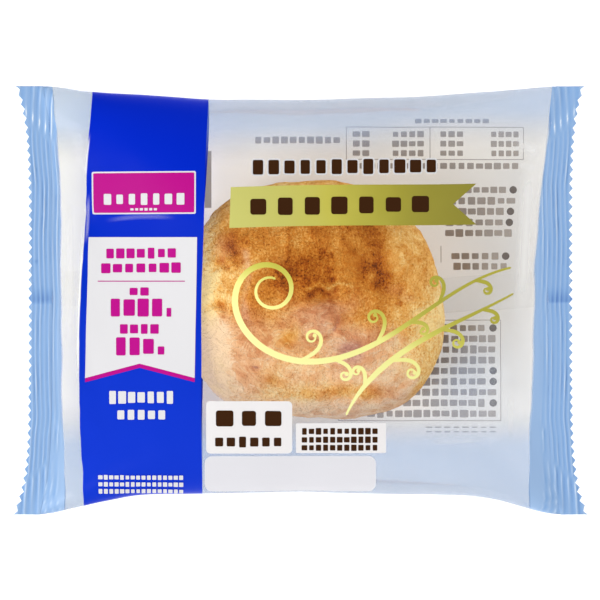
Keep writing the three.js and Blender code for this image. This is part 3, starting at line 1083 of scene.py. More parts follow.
# Marks of the crust: x, y, half length, half width, turn in degrees, then height, brown and rose
MARKS = (
    (-25, 17, 3, 6, 0, 0, -0.20, 0),  # broad shades
    (-13, 16, 5.5, 3, 0, 0, 0.14, 0),
    (-13, 7.5, 4.5, 3.5, 0, 0, -0.12, 0),
    (-20, 2.5, 6, 3, 0, 0, -0.10, 0),
    (25, 16, 6, 4.5, 0, 0, -0.08, 0),
    (22, -20, 6, 4.5, 0, 0, -0.08, 0.2),
    (0, -13, 7, 4, 0, 0, 0.06, 0.1),
    (9, -1.5, 8, 2.2, 0, 0, -0.12, 0),
    (-24.5, -14, 3, 10, 0, 0, -0.16, 0),
    (-24, 2, 3, 12, 0, 0, -0.10, 0),
    (3.5, -19.5, 7, 4.5, 0, 0, 0.10, 0.15),
    (11, -18.4, 4.5, 3, 0, 0, 0.02, 0.30),
    (24.4, 2.8, 3.4, 2.4, 0, 0, 0.02, 0.40),
    (16, -24, 5, 2, 0, 0, 0.06, -0.15),
    (3, -12.5, 5, 2.6, 0, 0, 0.12, -0.10),
    (7, -2.4, 9.5, 2.8, 0, 0, 0.02, 0.55),
    (0, -25.5, 8, 2.8, 0, 0, 0.06, -0.30),
    (16, -26.5, 5, 2.6, 0, 0, 0.02, -0.25),
    (21.5, 6.5, 6.5, 3.4, 0, 0, 0.12, 0),
    (33.5, 10, 2.6, 7, 0, 0, 0.12, 0),
    (-8, 16.6, 2.8, 2.4, 0, 0, 0.15, 0),
    (-3.6, 2, 3, 2.4, 0, 0, 0.13, 0.2),
    (-24, 11, 1.6, 2.4, 0, 0, 0.16, 0),
    (4, 9.5, 15, 12, -8, 0.5, 0.40, 0),  # the cap
    (-5.5, 6.5, 9, 5, 50, 0.3, 0.26, 0),
    (9.5, 11, 2, 6.5, 0, 0.3, -0.16, 0),
    (15.6, 9, 2.2, 4.5, 0, -0.5, 0.16, 0),
    (8, 19.5, 12, 4, -6, 0, 0.12, 0),
    (14.5, 0.5, 4.5, 3.2, 0, 0, 0.08, 0.2),
    (6.6, 0.6, 3.2, 1.5, 0, -1, 0.20, 0),  # the split
    (7.2, -1.8, 2.2, 1.5, 0, -0.4, 0.20, 0.2),
    (-21, -14, 4.5, 7, 0, 0, -0.12, 0),
    (-4, -22, 7, 3, 0, 0, 0.08, 0),
    (6, -29.5, 14, 3, 0, 0, -0.12, 0.3),
    (8, 4.7, 0.9, 0.8, 0, -0.7, 0.40, 0.3),
    (6.2, 12.6, 0.8, 0.7, 0, -0.4, 0.28, 0),
    (5.6, 11.3, 0.9, 0.7, 0, -0.5, 0.30, 0),
    (8.2, 11.7, 0.6, 0.8, 0, -0.4, 0.28, 0),
    (7.4, 7.2, 0.6, 1.1, 0, -0.4, 0.24, 0),
    (18.9, 6.6, 1.6, 1.5, 0, 0.4, -0.28, 0.1),
    (27.5, 11, 8, 10, 0, 0.7, 0.01, -0.25),  # the right lobe
    (26.8, -0.6, 1.3, 0.6, 15, -0.5, 0.36, 0.3),
    (29.5, 0.8, 3, 1.5, 0, 0, 0.08, 0.4),
    (32, -3.8, 4.5, 4.5, 0, 0.2, -0.12, 0),
    (21, -8.5, 5, 4, 20, 0.3, 0.10, 0),
    (19.5, -4.5, 11, 4.5, 0, 0, 0.12, -0.3),
    (13, -11, 7, 6, 0, 0, 0.06, 0.3),
    (-21.5, 13.5, 4, 5, 0, 0, 0.14, 0.4),  # the upper left
    (-18.5, 15.5, 3.4, 4.6, 0, -0.2, 0.27, 0.2),
    (-18.2, 13.6, 1.5, 2.4, 0, -0.6, 0.24, 0),
    (-22, 10.1, 1, 1.5, 0, -0.8, 0.42, 0.2),
    (-20.4, 8.6, 1.3, 0.8, 0, -0.6, 0.34, 0.2),
    (-17, 9.9, 1.3, 0.8, 0, -0.4, 0.22, 0),
    (-23.6, 8.4, 0.8, 0.9, 0, -0.5, 0.32, 0),
    (-20.6, 5.2, 1.3, 1.9, 0, -0.2, 0.24, 0),
    (-21.4, 1.8, 1.2, 1.3, 0, -0.2, 0.24, 0),
    (-21, -1.6, 1.6, 1, -20, -0.9, 0.52, 0),
    (-23.8, -1.4, 1.8, 1, 25, -0.6, 0.34, 0),
    (-20.5, -4.6, 2.6, 2.4, 0, -0.2, 0.14, 0.3),
    (-13, -4.9, 3.5, 2.2, 0, 0, 0.20, 0),
    (-3.4, -10.6, 3.4, 2.2, 30, 0.2, 0.12, -0.5),  # below
    (5.5, -6.4, 4.2, 3.8, 0, 0.3, -0.02, 0.7),
    (13.6, -14, 3.8, 3.1, 20, -0.8, 0.10, 1.2),
    (-12.1, -18.2, 1.3, 0.45, 0, -0.5, 0.30, 1),
    (-7.9, -21.4, 1.7, 1.3, -20, 0.1, 0.20, -0.2),
    (-14.4, -22.4, 1.2, 2.2, 30, 0.1, 0.18, 0),
    (8, -24.3, 4.6, 1.7, 12, 0.4, 0.24, -0.3),
    (19.5, -24.8, 5, 1.8, 0, 0.4, 0.24, -0.3),
)

# Creases of the crust: a path, its half width, then height, brown and rose
CREASES = (
    (((1.5, 2.6), (4.7, 4), (7.4, 2.8), (9.5, 4.2), (13.5, 3.9)), 0.38, 0.9, -0.34, 0),  # the lip
    (((2.4, 1.2), (4.9, 2.8), (7.3, 1.6), (9.2, 2.6)), 1, -0.8, 0.28, 0.2),
    (((18.6, 19), (20.2, 13), (20.6, 8.4), (21.6, 5.4)), 3.2, -0.8, 0.29, -0.4),  # the valley
    (((21.8, 17.5), (21, 12), (21.4, 6)), 1.4, -0.3, 0.08, 0),
    (((21.8, 3.4), (24, 2.2), (26.8, 1.8)), 1.6, -0.8, 0.14, 0.1),
    (((0.7, -10.3), (3, -10.8), (5.2, -11.1), (8.6, -9.6)), 0.5, -0.7, 0.24, 0),
    (((10.3, -4.6), (9.9, -6.4), (9, -8.2)), 0.5, -0.3, 0.12, 0.6),
    (((-15, 13), (-13.5, 6), (-15.5, 0), (-14.5, -6)), 1.2, -0.3, -0.06, 0.5),
    (((10, -27.4), (18, -28), (26, -25.6), (31, -21)), 1.3, 0.6, -0.10, 0.5),
)


# Smooth areas of the crust: x, y, half length and half width
SMOOTH = (
    (6.4, 0.8, 4, 2), (14.6, 9.5, 2.2, 4.5), (13.6, -14, 3.8, 3.6), (5.5, -6.4, 4.4, 3.6),
    (-4.5, -11, 5, 3), (-20, -14, 5, 6), (27.5, 12, 3.4, 6.5),
)


def puff_relief(base, rise_of_crown):
    """How far the crust stands out from its plain form, and how brown, how rosy and how smooth it is.

    The crown's cap is craggy and dark. A deep valley parts it from a smooth golden lobe at its
    right, a split with a thin lip crosses its front, and paler, rosier folds lie below."""
    plan = shown(base)
    x, y = plan.T
    top = smooth(-4.0, 8.0, base[:, 2] - PUFF_CENTRE[2])
    warp = np.stack((noise(base, 5.0, 11.0), noise(base, 5.0, 12.0)), axis=-1)
    bent = plan + 0.8 * warp
    cap = blob(bent, *CAP) * top

    broad = rough(base, *BROAD)
    craggy = 1.0 - np.abs(rough(base + 2.0 * warp[:, :1], *CRAGGY)) * 1.8
    fine = rough(base, *FINE)
    height = (base[:, 2] - PUFF_CENTRE[2]) / rise_of_crown
    relief = -0.9 + 0.6 * broad + craggy * (0.25 + 0.35 * cap) + fine * (0.13 + 0.10 * cap)
    brown = 0.28 + 0.12 * broad * top + 0.13 * (craggy - 0.5) * (0.4 + 0.6 * cap) + 0.08 * fine
    # Paler towards the left edge: partly less baked there, partly painted light from the left.
    brown = brown - 0.34 * smooth(-13.0, -26.0, x) * smooth(16.0, 6.0, y)
    brown = brown - 0.10 * smooth(31.0, 37.0, x) * smooth(8.0, 0.0, y)
    brown = brown - 0.10 * smooth(-10.0, -20.0, y - 0.4 * x) * top
    rosy = smooth(2.0, -12.0, y) * smooth(36.0, 24.0, x) * (0.75 + 0.25 * broad)
    below = smooth(0.04, -0.3, height)
    brown = brown + (0.40 + 0.10 * broad - brown) * 0.8 * below
    rosy = (rosy + 0.35 * smooth(0.3, -0.1, height)) * (1.0 - 0.85 * below)

    looks = np.stack((relief, brown, rosy))
    for *place, rise, darker, redder in MARKS:
        looks += np.outer((rise, darker, redder), blob(bent, *place) * top)
    for path, width, *changes in CREASES:
        looks += np.outer(changes, crease(plan + 0.35 * warp, path, width) * top)
    relief, brown, rosy = looks
    relief = relief + BULGE * bell(x, *BULGE_X) * bell(y, *BULGE_Y)
    plain = 0.75 * smooth(0.2, 0.9, rosy) + sum(blob(plan, *place) for place in SMOOTH) * top
    return relief, brown, rosy, np.clip(plain, 0.0, 1.0)


def build_puff(settings):
    """The puff: a rounded form on a grid whose poles are at its two ends along X, with its crust's relief."""
    shape = settings.shape()
    turn = np.arange(PUFF_STEPS) * 2 * np.pi / PUFF_STEPS
    dip = np.linspace(0.0, np.pi, PUFF_RINGS + 2)[1:-1, None]
    y, z = np.sin(dip) * np.cos(turn), np.sin(dip) * np.sin(turn)
    rays = np.stack(np.broadcast_arrays(-np.cos(dip), y, RAY_FLATNESS * z), axis=-1)
    rays = np.concatenate((rays.reshape(-1, 3), ((-1.0, 0.0, 0.0), (1.0, 0.0, 0.0))))
    base = rays / puff_gauge(rays, shape)[:, None]
    outward = base / np.array(shape[:3]) ** 2
    outward /= np.linalg.norm(outward, axis=-1, keepdims=True)
    base = base + PUFF_CENTRE
    relief, brown, rosy, plain = puff_relief(base, shape.rise)
    points = base + outward * np.minimum(relief * settings.relief, FILM_GAP * 0.5)[:, None]
    count = PUFF_RINGS * PUFF_STEPS
    first = np.arange(PUFF_STEPS)
    beside = np.roll(first, -1)
    last = first + count - PUFF_STEPS
    caps = np.concatenate((
        np.stack((np.full(PUFF_STEPS, count), first, beside), axis=-1),
        np.stack((np.full(PUFF_STEPS, count + 1), last[beside], last), axis=-1),
    ))
    faces = [grid_faces(PUFF_RINGS, PUFF_STEPS, wrap=True), caps]
    values = {"brown": brown, "rosy": rosy, "plain": plain}
    make_piece("puff", points, faces, puff_finish(settings), values)


def puff_finish(colours):
    """Baked choux crust: cream through gold to dark brown as it is baked, rosier in its lower folds, with
    fine fibres that run across the pack, fine dark pores, folds with painted highlights along their crests,
    and patches of painted shade."""
    finish = Finish("choux_crust")
    grain = finish.noise(2300.0, 2.0, (1.0, 0.75, 0.75)) - 0.5
    fibres = finish.noise(1500.0, 1.0, (1.0, 0.35, 0.5)) - 0.5
    patches = finish.noise(420.0, 4.0) - 0.5
    pores = finish.noise(1500.0, 1.0).between(0.58, 0.72)
    folds = finish.noise(210.0, 3.0, (0.8, 1.0, 1.0), Distortion=1.6) - 0.5
    folds = 1 - abs(folds).between(0.0, 0.05)
    shadows = finish.noise(160.0, 3.0, (0.8, 1.0, 1.0), Distortion=1.2).between(0.52, 0.6)
    plain = finish.attribute("plain")
    texture = patches * 0.34 + grain * 0.72 + fibres * 0.25 + pores * 0.16
    # Painted shade where the "shadows" noise is high, and painted highlights along the thin folds.
    folded = (shadows - 0.4) * 0.16 - folds * 0.15
    baked = finish.attribute("brown") + texture * (1 - plain * 0.7) + folded * (plain * 0.7 + 0.3)
    gold = finish.ramp(
        baked,
        (0.0, colours.cream),
        (0.22, colours.straw),
        (0.45, colours.gold),
        (0.68, colours.amber),
        (0.85, colours.brown),
        (1.0, colours.dark_brown),
    )
    rose = finish.ramp(
        baked,
        (0.0, colours.blush),
        (0.25, colours.peach),
        (0.5, colours.rose),
        (0.75, colours.russet),
        (1.0, colours.dark_russet),
    )
    plum = finish.ramp(
        baked,
        (0.0, colours.pale_plum),
        (0.4, colours.plum),
        (1.0, colours.dark_plum),
    )
    rosy = finish.attribute("rosy") + (finish.noise(150.0, 3.0) - 0.52) * 0.8
    colour = finish.mix(rosy.between(1.0, 2.0), finish.mix(rosy.between(0.0, 1.0), gold, rose), plum)
    relief = finish.bump(patches * 0.5 + grain * 0.4 - pores * 0.4 + folds * 0.3, 0.0009, 0.6)
    return finish.done(finish.principled(
        Base_Color=colour,
        Roughness=0.7,
        Normal=relief,
        Specular_IOR_Level=0.04,
    ))


# ------------------------------------------------------------------------------------------- prints
class Print:
    """Flat shapes of one ink, laid out in plan and put on the film's front or back as one mesh."""

    def __init__(self, name, finish, slot, layer=1, back=False):
        self.name, self.finish, self.slot = name, finish, slot
        self.layer, self.back = layer, back
        self.grids = []
        self.strengths = []

    def patch(self, plan, strength=1.0):
        """A grid of plan points, and how strongly it shows at them."""
        self.grids.append(plan)
        self.strengths.append(np.broadcast_to(strength, plan.shape[:2]).ravel())

    def block(self, left, right, low, high, radius=0.0, slope=0.0, cell=2.5):
        """A rectangle with rounded corners: columns of points, shorter within a radius of each end."""
        radius = min(radius, (right - left) / 2, (high - low) / 2)
        turn = np.linspace(0.0, np.pi / 2, 5)
        ends = radius * (1 - np.cos(turn)) if radius > 0 else np.zeros(1)
        middle = np.linspace(left + radius, right - radius, max(2, math.ceil((right - left) / cell)))
        x = np.unique(np.round(np.concatenate((left + ends, middle, right - ends)), 4))
        inside = np.minimum(np.minimum(x - left, right - x), radius)
        cut = radius - np.sqrt(np.maximum(radius ** 2 - (radius - inside) ** 2, 0.0))
        half = (high - low) / 2 - np.minimum(cut, (high - low) / 2 - 0.02)
        share = np.linspace(-1.0, 1.0, max(2, math.ceil((high - low) / cell) + 1))
        y = (low + high) / 2 + half[:, None] * share + (slope * (x - left))[:, None]
        self.patch(np.stack(np.broadcast_arrays(x[:, None], y), axis=-1))

    def row(self, left, right, low, high, pitch, slope=0.0, grow=0.0, cover=0.8, uneven=0.12):
        """A row of rounded blocks of uneven sizes, in place of a line of writing."""
        count = max(1, round((right - left) / pitch))
        pitch = (right - left) / count
        for i in range(count):
            wide = pitch * cover * (0.92 + uneven * hashed(np.array((i + 7.0 * left, low)), 3.0))
            cut = (high - low) * uneven * (1.0 + hashed(np.array((i + 3.0 * left, high)), 5.0)) / 2
            x = left + (i + 0.5) * pitch
            lift = slope * (x - left)
            sides = (x - wide / 2 - grow, x + wide / 2 + grow)
            levels = (low + cut - grow + lift, high - cut + grow + lift)
            self.block(*sides, *levels, 0.1 * pitch + grow, cell=3.0)

    def stroke(self, path, width, soft=None):
        """A line of varying width along a path of plan points, with rounded ends. A soft one fades towards
        its edges."""
        across = np.gradient(path, axis=0)
        across = np.stack((-across[:, 1], across[:, 0]), axis=-1)
        across /= np.linalg.norm(across, axis=-1, keepdims=True)
        run = np.concatenate(((0.0,), np.cumsum(np.linalg.norm(np.diff(path, axis=0), axis=-1))))
        left_over = np.minimum(run, run[-1] - run)
        half = width / 2
        round_end = np.sqrt(np.clip(1 - (1 - np.minimum(left_over / half, 1.0)) ** 2, 0.0, 1.0))
        half = half * np.maximum(round_end, 0.03)
        share = np.linspace(-1.0, 1.0, 5 if soft is None else 9)
        strength = 1.0
        if soft is not None:
            strength = soft * (1.0 - share ** 2) ** 1.5 * smooth(0.0, 0.3, left_over / run[-1])[:, None]
        self.patch(path[:, None] - across[:, None] * (half[:, None] * share)[..., None], strength)

    def build(self, film):
        """Makes the piece: all its grids on the film, one layer of print above another."""
        sizes = [grid.shape[:2] for grid in self.grids]
        u, v = film.find(np.concatenate([grid.reshape(-1, 2) for grid in self.grids]), self.back)
        places = film.lifted(u, v, LIFT * self.layer)
        places[:, 2] = np.maximum(places[:, 2], LOWEST_PRINT)
        faces, first = [], 0
        for rows, columns in sizes:
            group = grid_faces(rows, columns) + first
            faces.append(group[:, ::-1] if self.back else group)
            first += rows * columns
        values = {"strength": np.concatenate(self.strengths)}
        make_piece(self.name, places, [np.concatenate(faces)], self.finish, values)


def print_shapes(film, name, finish, slot, layer, blocks=(), rows=(), **style):
    """A piece of print from blocks and rows, each given by what Print.block or Print.row takes."""
    shapes = Print(name, finish, slot, layer)
    for block in blocks:
        shapes.block(*block)
    for row in rows:
        shapes.row(*row, **style)
    shapes.build(film)


def ink(inks, name, roughness=0.24):
    """The finish of one plain ink."""
    return shared(name, print_finish, getattr(inks, name), roughness)


# Left panel. A block is its left, right, low and high, and for some its radius, slope and cell. A row is
# its left, right, low, high and pitch, and for some its slope, how far it is grown, its cover and how
# uneven it is.
PANEL_TOP = 16.6
PANEL_X = (-55.9, -27.3)
PANEL_FOOT_X = (-56.9, -27.9)
PANEL_FOOT, PANEL_APEX = -20.6, -16.8
PANEL_EDGE = 1.1  # how far the magenta edge shows below the panel's foot
PLAQUE_EDGE = (-54.9, -27.6, 22.6, 33.9, 0.4, 0.006)
PLAQUE_AND_RULE = ((-54.5, -28.0, 23.0, 33.5, 0.3, 0.006), (-53.5, -30.5, 4.85, 5.1))
MAGENTA_ROWS = (
    (-51.6, -32.6, 10.8, 13.7, 2.7, 0.01), (-52.9, -31.3, 6.9, 9.8, 3.1, 0.01), (-45.4, -39.7, 1.1, 3.4, 2.7),
    (-50.6, -36.0, -4.5, 0.5, 3.6), (-35.6, -33.8, -4.5, -2.0, 1.8), (-47.9, -37.1, -9.0, -6.3, 2.7),
    (-49.2, -38.2, -14.7, -9.8, 3.6), (-37.8, -35.6, -14.7, -12.0, 2.2),
)
WHITE_ROWS = (
    (-52.4, -30.0, 25.0, 28.2, 3.2, 0.006, 0.0, 0.62), (-45.0, -37.6, 23.6, 24.3, 1.2, 0.006),
    (-50.8, -33.1, -27.5, -24.0, 2.6), (-48.7, -35.2, -31.7, -29.0, 2.7),
    *((-53.5, -30.8, low, low + 1.25, 1.4) for low in (-47.4, -49.2, -51.0)),
)


def panel_grid(drop=0.0):
    """The white panel's outline: straight top and sides, and a foot that rises to an apex in the middle."""
    share = np.linspace(0.0, 1.0, 25)
    foot = PANEL_FOOT + (PANEL_APEX - PANEL_FOOT) * (1 - np.abs(2 * share - 1)) - drop
    left = PANEL_FOOT_X[0] + (PANEL_FOOT_X[1] - PANEL_FOOT_X[0]) * share
    top = PANEL_X[0] + (PANEL_X[1] - PANEL_X[0]) * share
    rise = np.linspace(0.0, 1.0, 20)
    x = left[:, None] + (top - left)[:, None] * rise
    y = foot[:, None] + (PANEL_TOP - foot)[:, None] * rise
    return np.stack((x, y), axis=-1)


def build_panel_prints(film, inks):
    """The blue band's prints: a plaque, the white panel with its rows, and white rows below."""
    magenta, white = ink(inks, "magenta_print"), ink(inks, "white_print")
    edge = Print("panel_edge", magenta, "magenta_print", 1)
    edge.patch(panel_grid(PANEL_EDGE))
    edge.build(film)
    panel = Print("white_panel", white, "white_print", 2)
    panel.patch(panel_grid())
    panel.block(*PLAQUE_EDGE)
    panel.build(film)
    print_shapes(film, "magenta_prints", magenta, "magenta_print", 3, PLAQUE_AND_RULE, MAGENTA_ROWS)
    print_shapes(film, "white_rows", white, "white_print", 4, rows=WHITE_ROWS)


# Window
DARK_ROW = (-13.3, 36.6, 32.9, 37.1, 4.16, 0.008)
DARK_ROW_EDGE = 0.4  # how far its white edge shows
RIBBON_X, RIBBON_Y = (-18.4, 46.5), (19.0, 29.8)
RIBBON_NOTCH = 6.2  # depth of the cut in its right end
RIBBON_CLIMB, RIBBON_WAVE, RIBBON_LEAN = 1.1, 0.2, 0.4
RIBBON_ROW = (-14.7, 35.2, 22.2, 26.9, 7.1, 0.017, 0.0, 0.64, 0.1)
LABELS = ((-24.9, -2.2, -40.5, -26.7, 1.1), (-1.2, 22.6, -40.4, -32.5, 0.3))
LABEL_ROWS = (
    (-23.2, -4.0, -33.7, -28.8, 6.4, 0.0, 0.0, 0.7), (-23.0, -4.5, -38.9, -36.0, 3.1, 0.0, 0.0, 0.7),
    *((0.1, 20.6, low, low + 1.75, 1.9) for low in (-35.5, -37.75, -39.85)),
)
DATE_PANEL = (-25.3, 19.9, -50.4, -41.2, 1.9, 0.0, 0.8)


def ribbon_grid():
    """The ribbon: a band that climbs and waves a little, with a leaning left end and a notched right one."""
    share = np.linspace(0.0, 1.0, 40)[:, None]
    rise = np.linspace(0.0, 1.0, 13)[None, :]
    left = RIBBON_X[0] - RIBBON_LEAN * (1 - rise)
    right = RIBBON_X[1] - RIBBON_NOTCH * (1 - np.abs(2 * rise - 1))
    x = left + (right - left) * share
    y = RIBBON_Y[0] + (RIBBON_Y[1] - RIBBON_Y[0]) * rise + RIBBON_CLIMB * share
    return np.stack(np.broadcast_arrays(x, y + RIBBON_WAVE * np.sin(share * 5.0)), axis=-1)


def build_window_prints(film, inks):
    """The window's prints: a dark row, the gold ribbon with its row, two labels and the date panel."""
    white, dark = ink(inks, "white_print"), ink(inks, "dark_print")
    for name, finish, slot, layer, grow in (
        ("dark_row_edge", white, "white_print", 1, DARK_ROW_EDGE), ("dark_row", dark, "dark_print", 2, 0.0),
    ):
        print_shapes(film, name, finish, slot, layer, rows=[DARK_ROW], grow=grow, cover=0.7)
    foil = sheen_painted_finish(
        "ribbon_print", (1.0, 0.0), (-0.018, 0.046), 0.2,
        (0.0, inks.ribbon_left), (0.35, inks.ribbon_middle), (0.7, inks.ribbon_shade),
        (1.0, inks.ribbon_right),
    )
    ribbon = Print("gold_ribbon", foil, "gold_print", 1)
    ribbon.patch(ribbon_grid())
    ribbon.build(film)
    print_shapes(film, "ribbon_row", dark, "dark_print", 2, rows=[RIBBON_ROW])
    print_shapes(film, "labels", ink(inks, "label_white"), "white_print", 1, LABELS)
    print_shapes(film, "label_rows", dark, "dark_print", 2, rows=LABEL_ROWS)
    print_shapes(film, "date_panel", ink(inks, "frosted_white"), "white_print", 1, [DATE_PANEL])


# Back, seen through the window
LINE = 0.2  # width of the boxes' lines
BOXES = ((12.1, 58.8, 37.1, 45.6), (10.0, 52.8, -31.9, -5.3))  # left, right, low, high
DIVIDER, SHORT_LINE, BAR = (34.1, 34.3, 37.1, 45.6), (36.9, 37.1, 9.9, 14.3), (-25.3, -23.5, 24.3, 39.3)
TABLE_LEVELS = (37.9, 40.4, 42.9)
TABLE_COLUMNS = ((13.5, 18.5), (24.0, 32.8), (36.6, 43.2), (50.0, 57.8))
BACK_ROWS = (
    (30.0, 50.0, 46.6, 47.8, 2.2), (13.0, 57.8, 34.5, 36.3, 2.3), (-12.3, 10.7, 41.2, 43.1, 2.3),
)
UPPER_ROWS = (  # middle, left, right, and x of the dot for the rows that have one
    (29.1, 43.0, 54.4, 56.1), (26.2, 36.0, 56.8, None), (23.4, 34.0, 53.8, 55.4), (20.5, 38.0, 53.6, 55.1),
    (17.7, 38.0, 56.0, None), (11.6, 39.5, 52.6, 54.1), (8.9, 40.0, 54.8, None),
)
BOX_ROWS, BOX_ROW_TOP, BOX_ROW_PITCH = 9, -7.4, 2.83
DOTTED, SHORT = (0, 4, 5, 7), (2, 6)  # rows of the box with a dot, and those that begin further in
FAINT_LEVELS = (-35.0, -33.8)


def build_back_prints(film, inks):
    """Grey print on the back, which shows through the window: a small table, rows, a box and a bar."""
    grey = Print("back_prints", ink(inks, "grey_print", 0.5), "grey_print", 3, back=True)
    dots = Print("back_dots", ink(inks, "dim_print", 0.5), "grey_print", 3, back=True)

    def dotted_row(start, end, middle, half, cover, dot):
        grey.row(start, end, middle - half, middle + half, 2.45, cover=cover, uneven=0.16)
        if dot:
            dots.block(dot - 1.0, dot + 1.0, middle - 1.0, middle + 1.0, 1.0)

    for left, right, low, high in BOXES:
        for y in (low, high):
            grey.block(left, right, y - LINE / 2, y + LINE / 2)
        for x in (left, right):
            grey.block(x - LINE / 2, x + LINE / 2, low, high)
    grey.block(*DIVIDER)
    for y in TABLE_LEVELS:
        for start, end in TABLE_COLUMNS:
            grey.row(start, end, y, y + 1.7, 2.2)
    for row in BACK_ROWS:
        grey.row(*row)
    for middle, start, end, dot in UPPER_ROWS:
        dotted_row(start, end, middle, 1.05, 0.86, dot)
    grey.block(*SHORT_LINE)
    for i in range(BOX_ROWS):
        start = 12.0 + 2.7 * (i % 3) + 5.0 * (i in SHORT)
        end, dot = (48.9, 50.8) if i in DOTTED else (51.7, None)
        dotted_row(start, end, BOX_ROW_TOP - BOX_ROW_PITCH * i, 1.1, 0.88, dot)
    for low in FAINT_LEVELS:
        grey.row(32.7, 51.9, low, low + 0.35, 2.4, cover=0.7)
    grey.block(*BAR, cell=1.0)
    grey.build(film)
    dots.build(film)


# Painted highlights and reflections of the film, as milky streaks: a path in plan, the width and how strongly
# it shows
FILM_HIGHLIGHT_PAINT = (
    (((-57, 23), (-57.9, 12), (-58.7, -4), (-58.9, -16), (-58.6, -27)), 0.8, 1),
    (((-55.2, 47), (-56.1, 38), (-56.9, 27)), 0.6, 0.8),
    (((-55.6, 30), (-55.9, 25), (-56.4, 18), (-56.7, 13)), 1.1, 0.26),
    (((-61, 32), (-60.8, 10), (-61, -22)), 2.2, 0.25),
    (((-54, 20.4), (-47, 22), (-38, 22.5), (-30, 21.4)), 1.6, 0.12),
    (((55, 42.8), (60, 40), (65, 37.6)), 4.6, 0.34),
    (((56, 36), (60, 35), (64, 34.8)), 3, 0.24),
    (((61, 46), (60.4, 30), (58.6, 8), (57.8, -14)), 5.2, 0.42),
    (((55.2, -22), (55.8, -32), (55.4, -38)), 2, 0.2),
    (((30, -37), (41, -38.2), (52, -36.4)), 1.5, 0.2),
)


def build_painted_highlights(film):
    """Painted highlights and reflections of the film: thin milky lines and soft streaks."""
    finish = Finish("creased_film")
    milk = finish.principled(Base_Color=linear(248, 247, 245), Roughness=0.5, Specular_IOR_Level=0.1)
    finish.done(finish.blend(finish.attribute("strength"), finish.clear(), milk))
    creases = Print("film_creases", finish.block, "clear_film", 2)
    for path, width, strength in FILM_HIGHLIGHT_PAINT:
        points = np.array(path)
        run = np.linspace(0.0, len(points) - 1.0, 16 * len(points))
        knots = 3.0 * np.arange(len(points))
        smoothed = [along(np.stack((knots, points[:, axis]), axis=-1), 3.0 * run) for axis in range(2)]
        creases.stroke(np.stack(smoothed, axis=-1), np.full(len(run), width), strength)
    creases.build(film)


def scroll(start, heading, length, bend, bend_end, power=1.0):
    """A path that sets off at a heading in degrees, and whose bend, in degrees a millimetre, changes
    along it with the given power of the way gone. Returns the path and the heading at its end."""
    run = np.linspace(0.0, length, max(12, round(length / 0.4)))
    rate = bend + (bend_end - bend) * (run / length) ** power
    step = np.diff(run)
    turn = np.concatenate(((0.0,), np.cumsum((rate[1:] + rate[:-1]) / 2 * step)))
    angle = np.radians(heading + turn)
    way = np.stack((np.cos(angle), np.sin(angle)), axis=-1)
    moves = (way[1:] + way[:-1]) / 2 * step[:, None]
    path = np.array(start) + np.concatenate((np.zeros((1, 2)), np.cumsum(moves, axis=0)))
    return path, heading + turn[-1]


def tapered(path, thick, thin, peak):
    """Widths along a path: thin at its ends, and swelling to thick at peak."""
    share = np.linspace(0.0, 1.0, len(path))
    rise = np.where(share < peak, share / peak, (1 - share) / (1 - peak))
    return thin + (thick - thin) * np.sin(np.pi / 2 * rise) ** 1.2


# Tendrils: share of the way along the stem, side of it, length and turns
LONG_STEM_TENDRILS = (
    (0.18, 1, 19.0, 1.25), (0.30, -1, 13.0, 1.1), (0.46, 1, 18.0, 1.25), (0.60, -1, 10.0, 1.0),
    (0.72, 1, 14.0, 1.2), (0.87, -1, 10.0, 1.1),
)
SHORT_STEM_TENDRILS = (
    (0.16, 1, 11.0, 1.1), (0.34, -1, 17.0, 1.25), (0.62, -1, 14.0, 1.2), (0.84, -1, 10.0, 1.1),
)
TENDRIL_ANGLE = 26.0  # degrees from the stem
TENDRIL_BEND = 1.5  # degrees a millimetre at its foot
TENDRIL_POWER = 1.6  # of the way gone, by which it bends more
TENDRIL_WIDTHS = (1.05, 0.45, 0.25)  # thick, thin and where it is thickest
TENDRIL_DOT = 0.55  # radius of its end


def add_tendril(gold, stem, share, side, length, turns):
    """A tendril that leaves a stem to one side, coils up ever tighter and ends in a dot."""
    at = int(share * (len(stem) - 2))
    way = stem[at + 1] - stem[at]
    heading = math.degrees(math.atan2(way[1], way[0])) + side * TENDRIL_ANGLE
    bend_end = side * 360.0 * (1.0 + TENDRIL_POWER) * turns / length
    path, _ = scroll(stem[at], heading, length, side * TENDRIL_BEND, bend_end, TENDRIL_POWER)
    gold.stroke(path, tapered(path, *TENDRIL_WIDTHS))
    x, y = path[-1]
    gold.block(x - TENDRIL_DOT, x + TENDRIL_DOT, y - TENDRIL_DOT, y + TENDRIL_DOT, TENDRIL_DOT)


# Stems, as scroll takes them: start, heading, length, first and last bend, and the power for one of them.
# The long stem is the volute with a wave that carries on from it. Widths are as tapered takes them.
VOLUTE = ((-6.5, 5.5), 150.0, 58.0, 18.0, 2.8, 0.7)
WAVE_LENGTH, WAVE_BENDS = 76.0, (3.2, -1.7)
SHORT_STEM = ((12.0, -30.5), 66.0, 56.0, -1.9, 0.6)
LONG_STEM_WIDTHS, SHORT_STEM_WIDTHS = (1.7, 0.6, 0.42), (1.5, 0.5, 0.3)


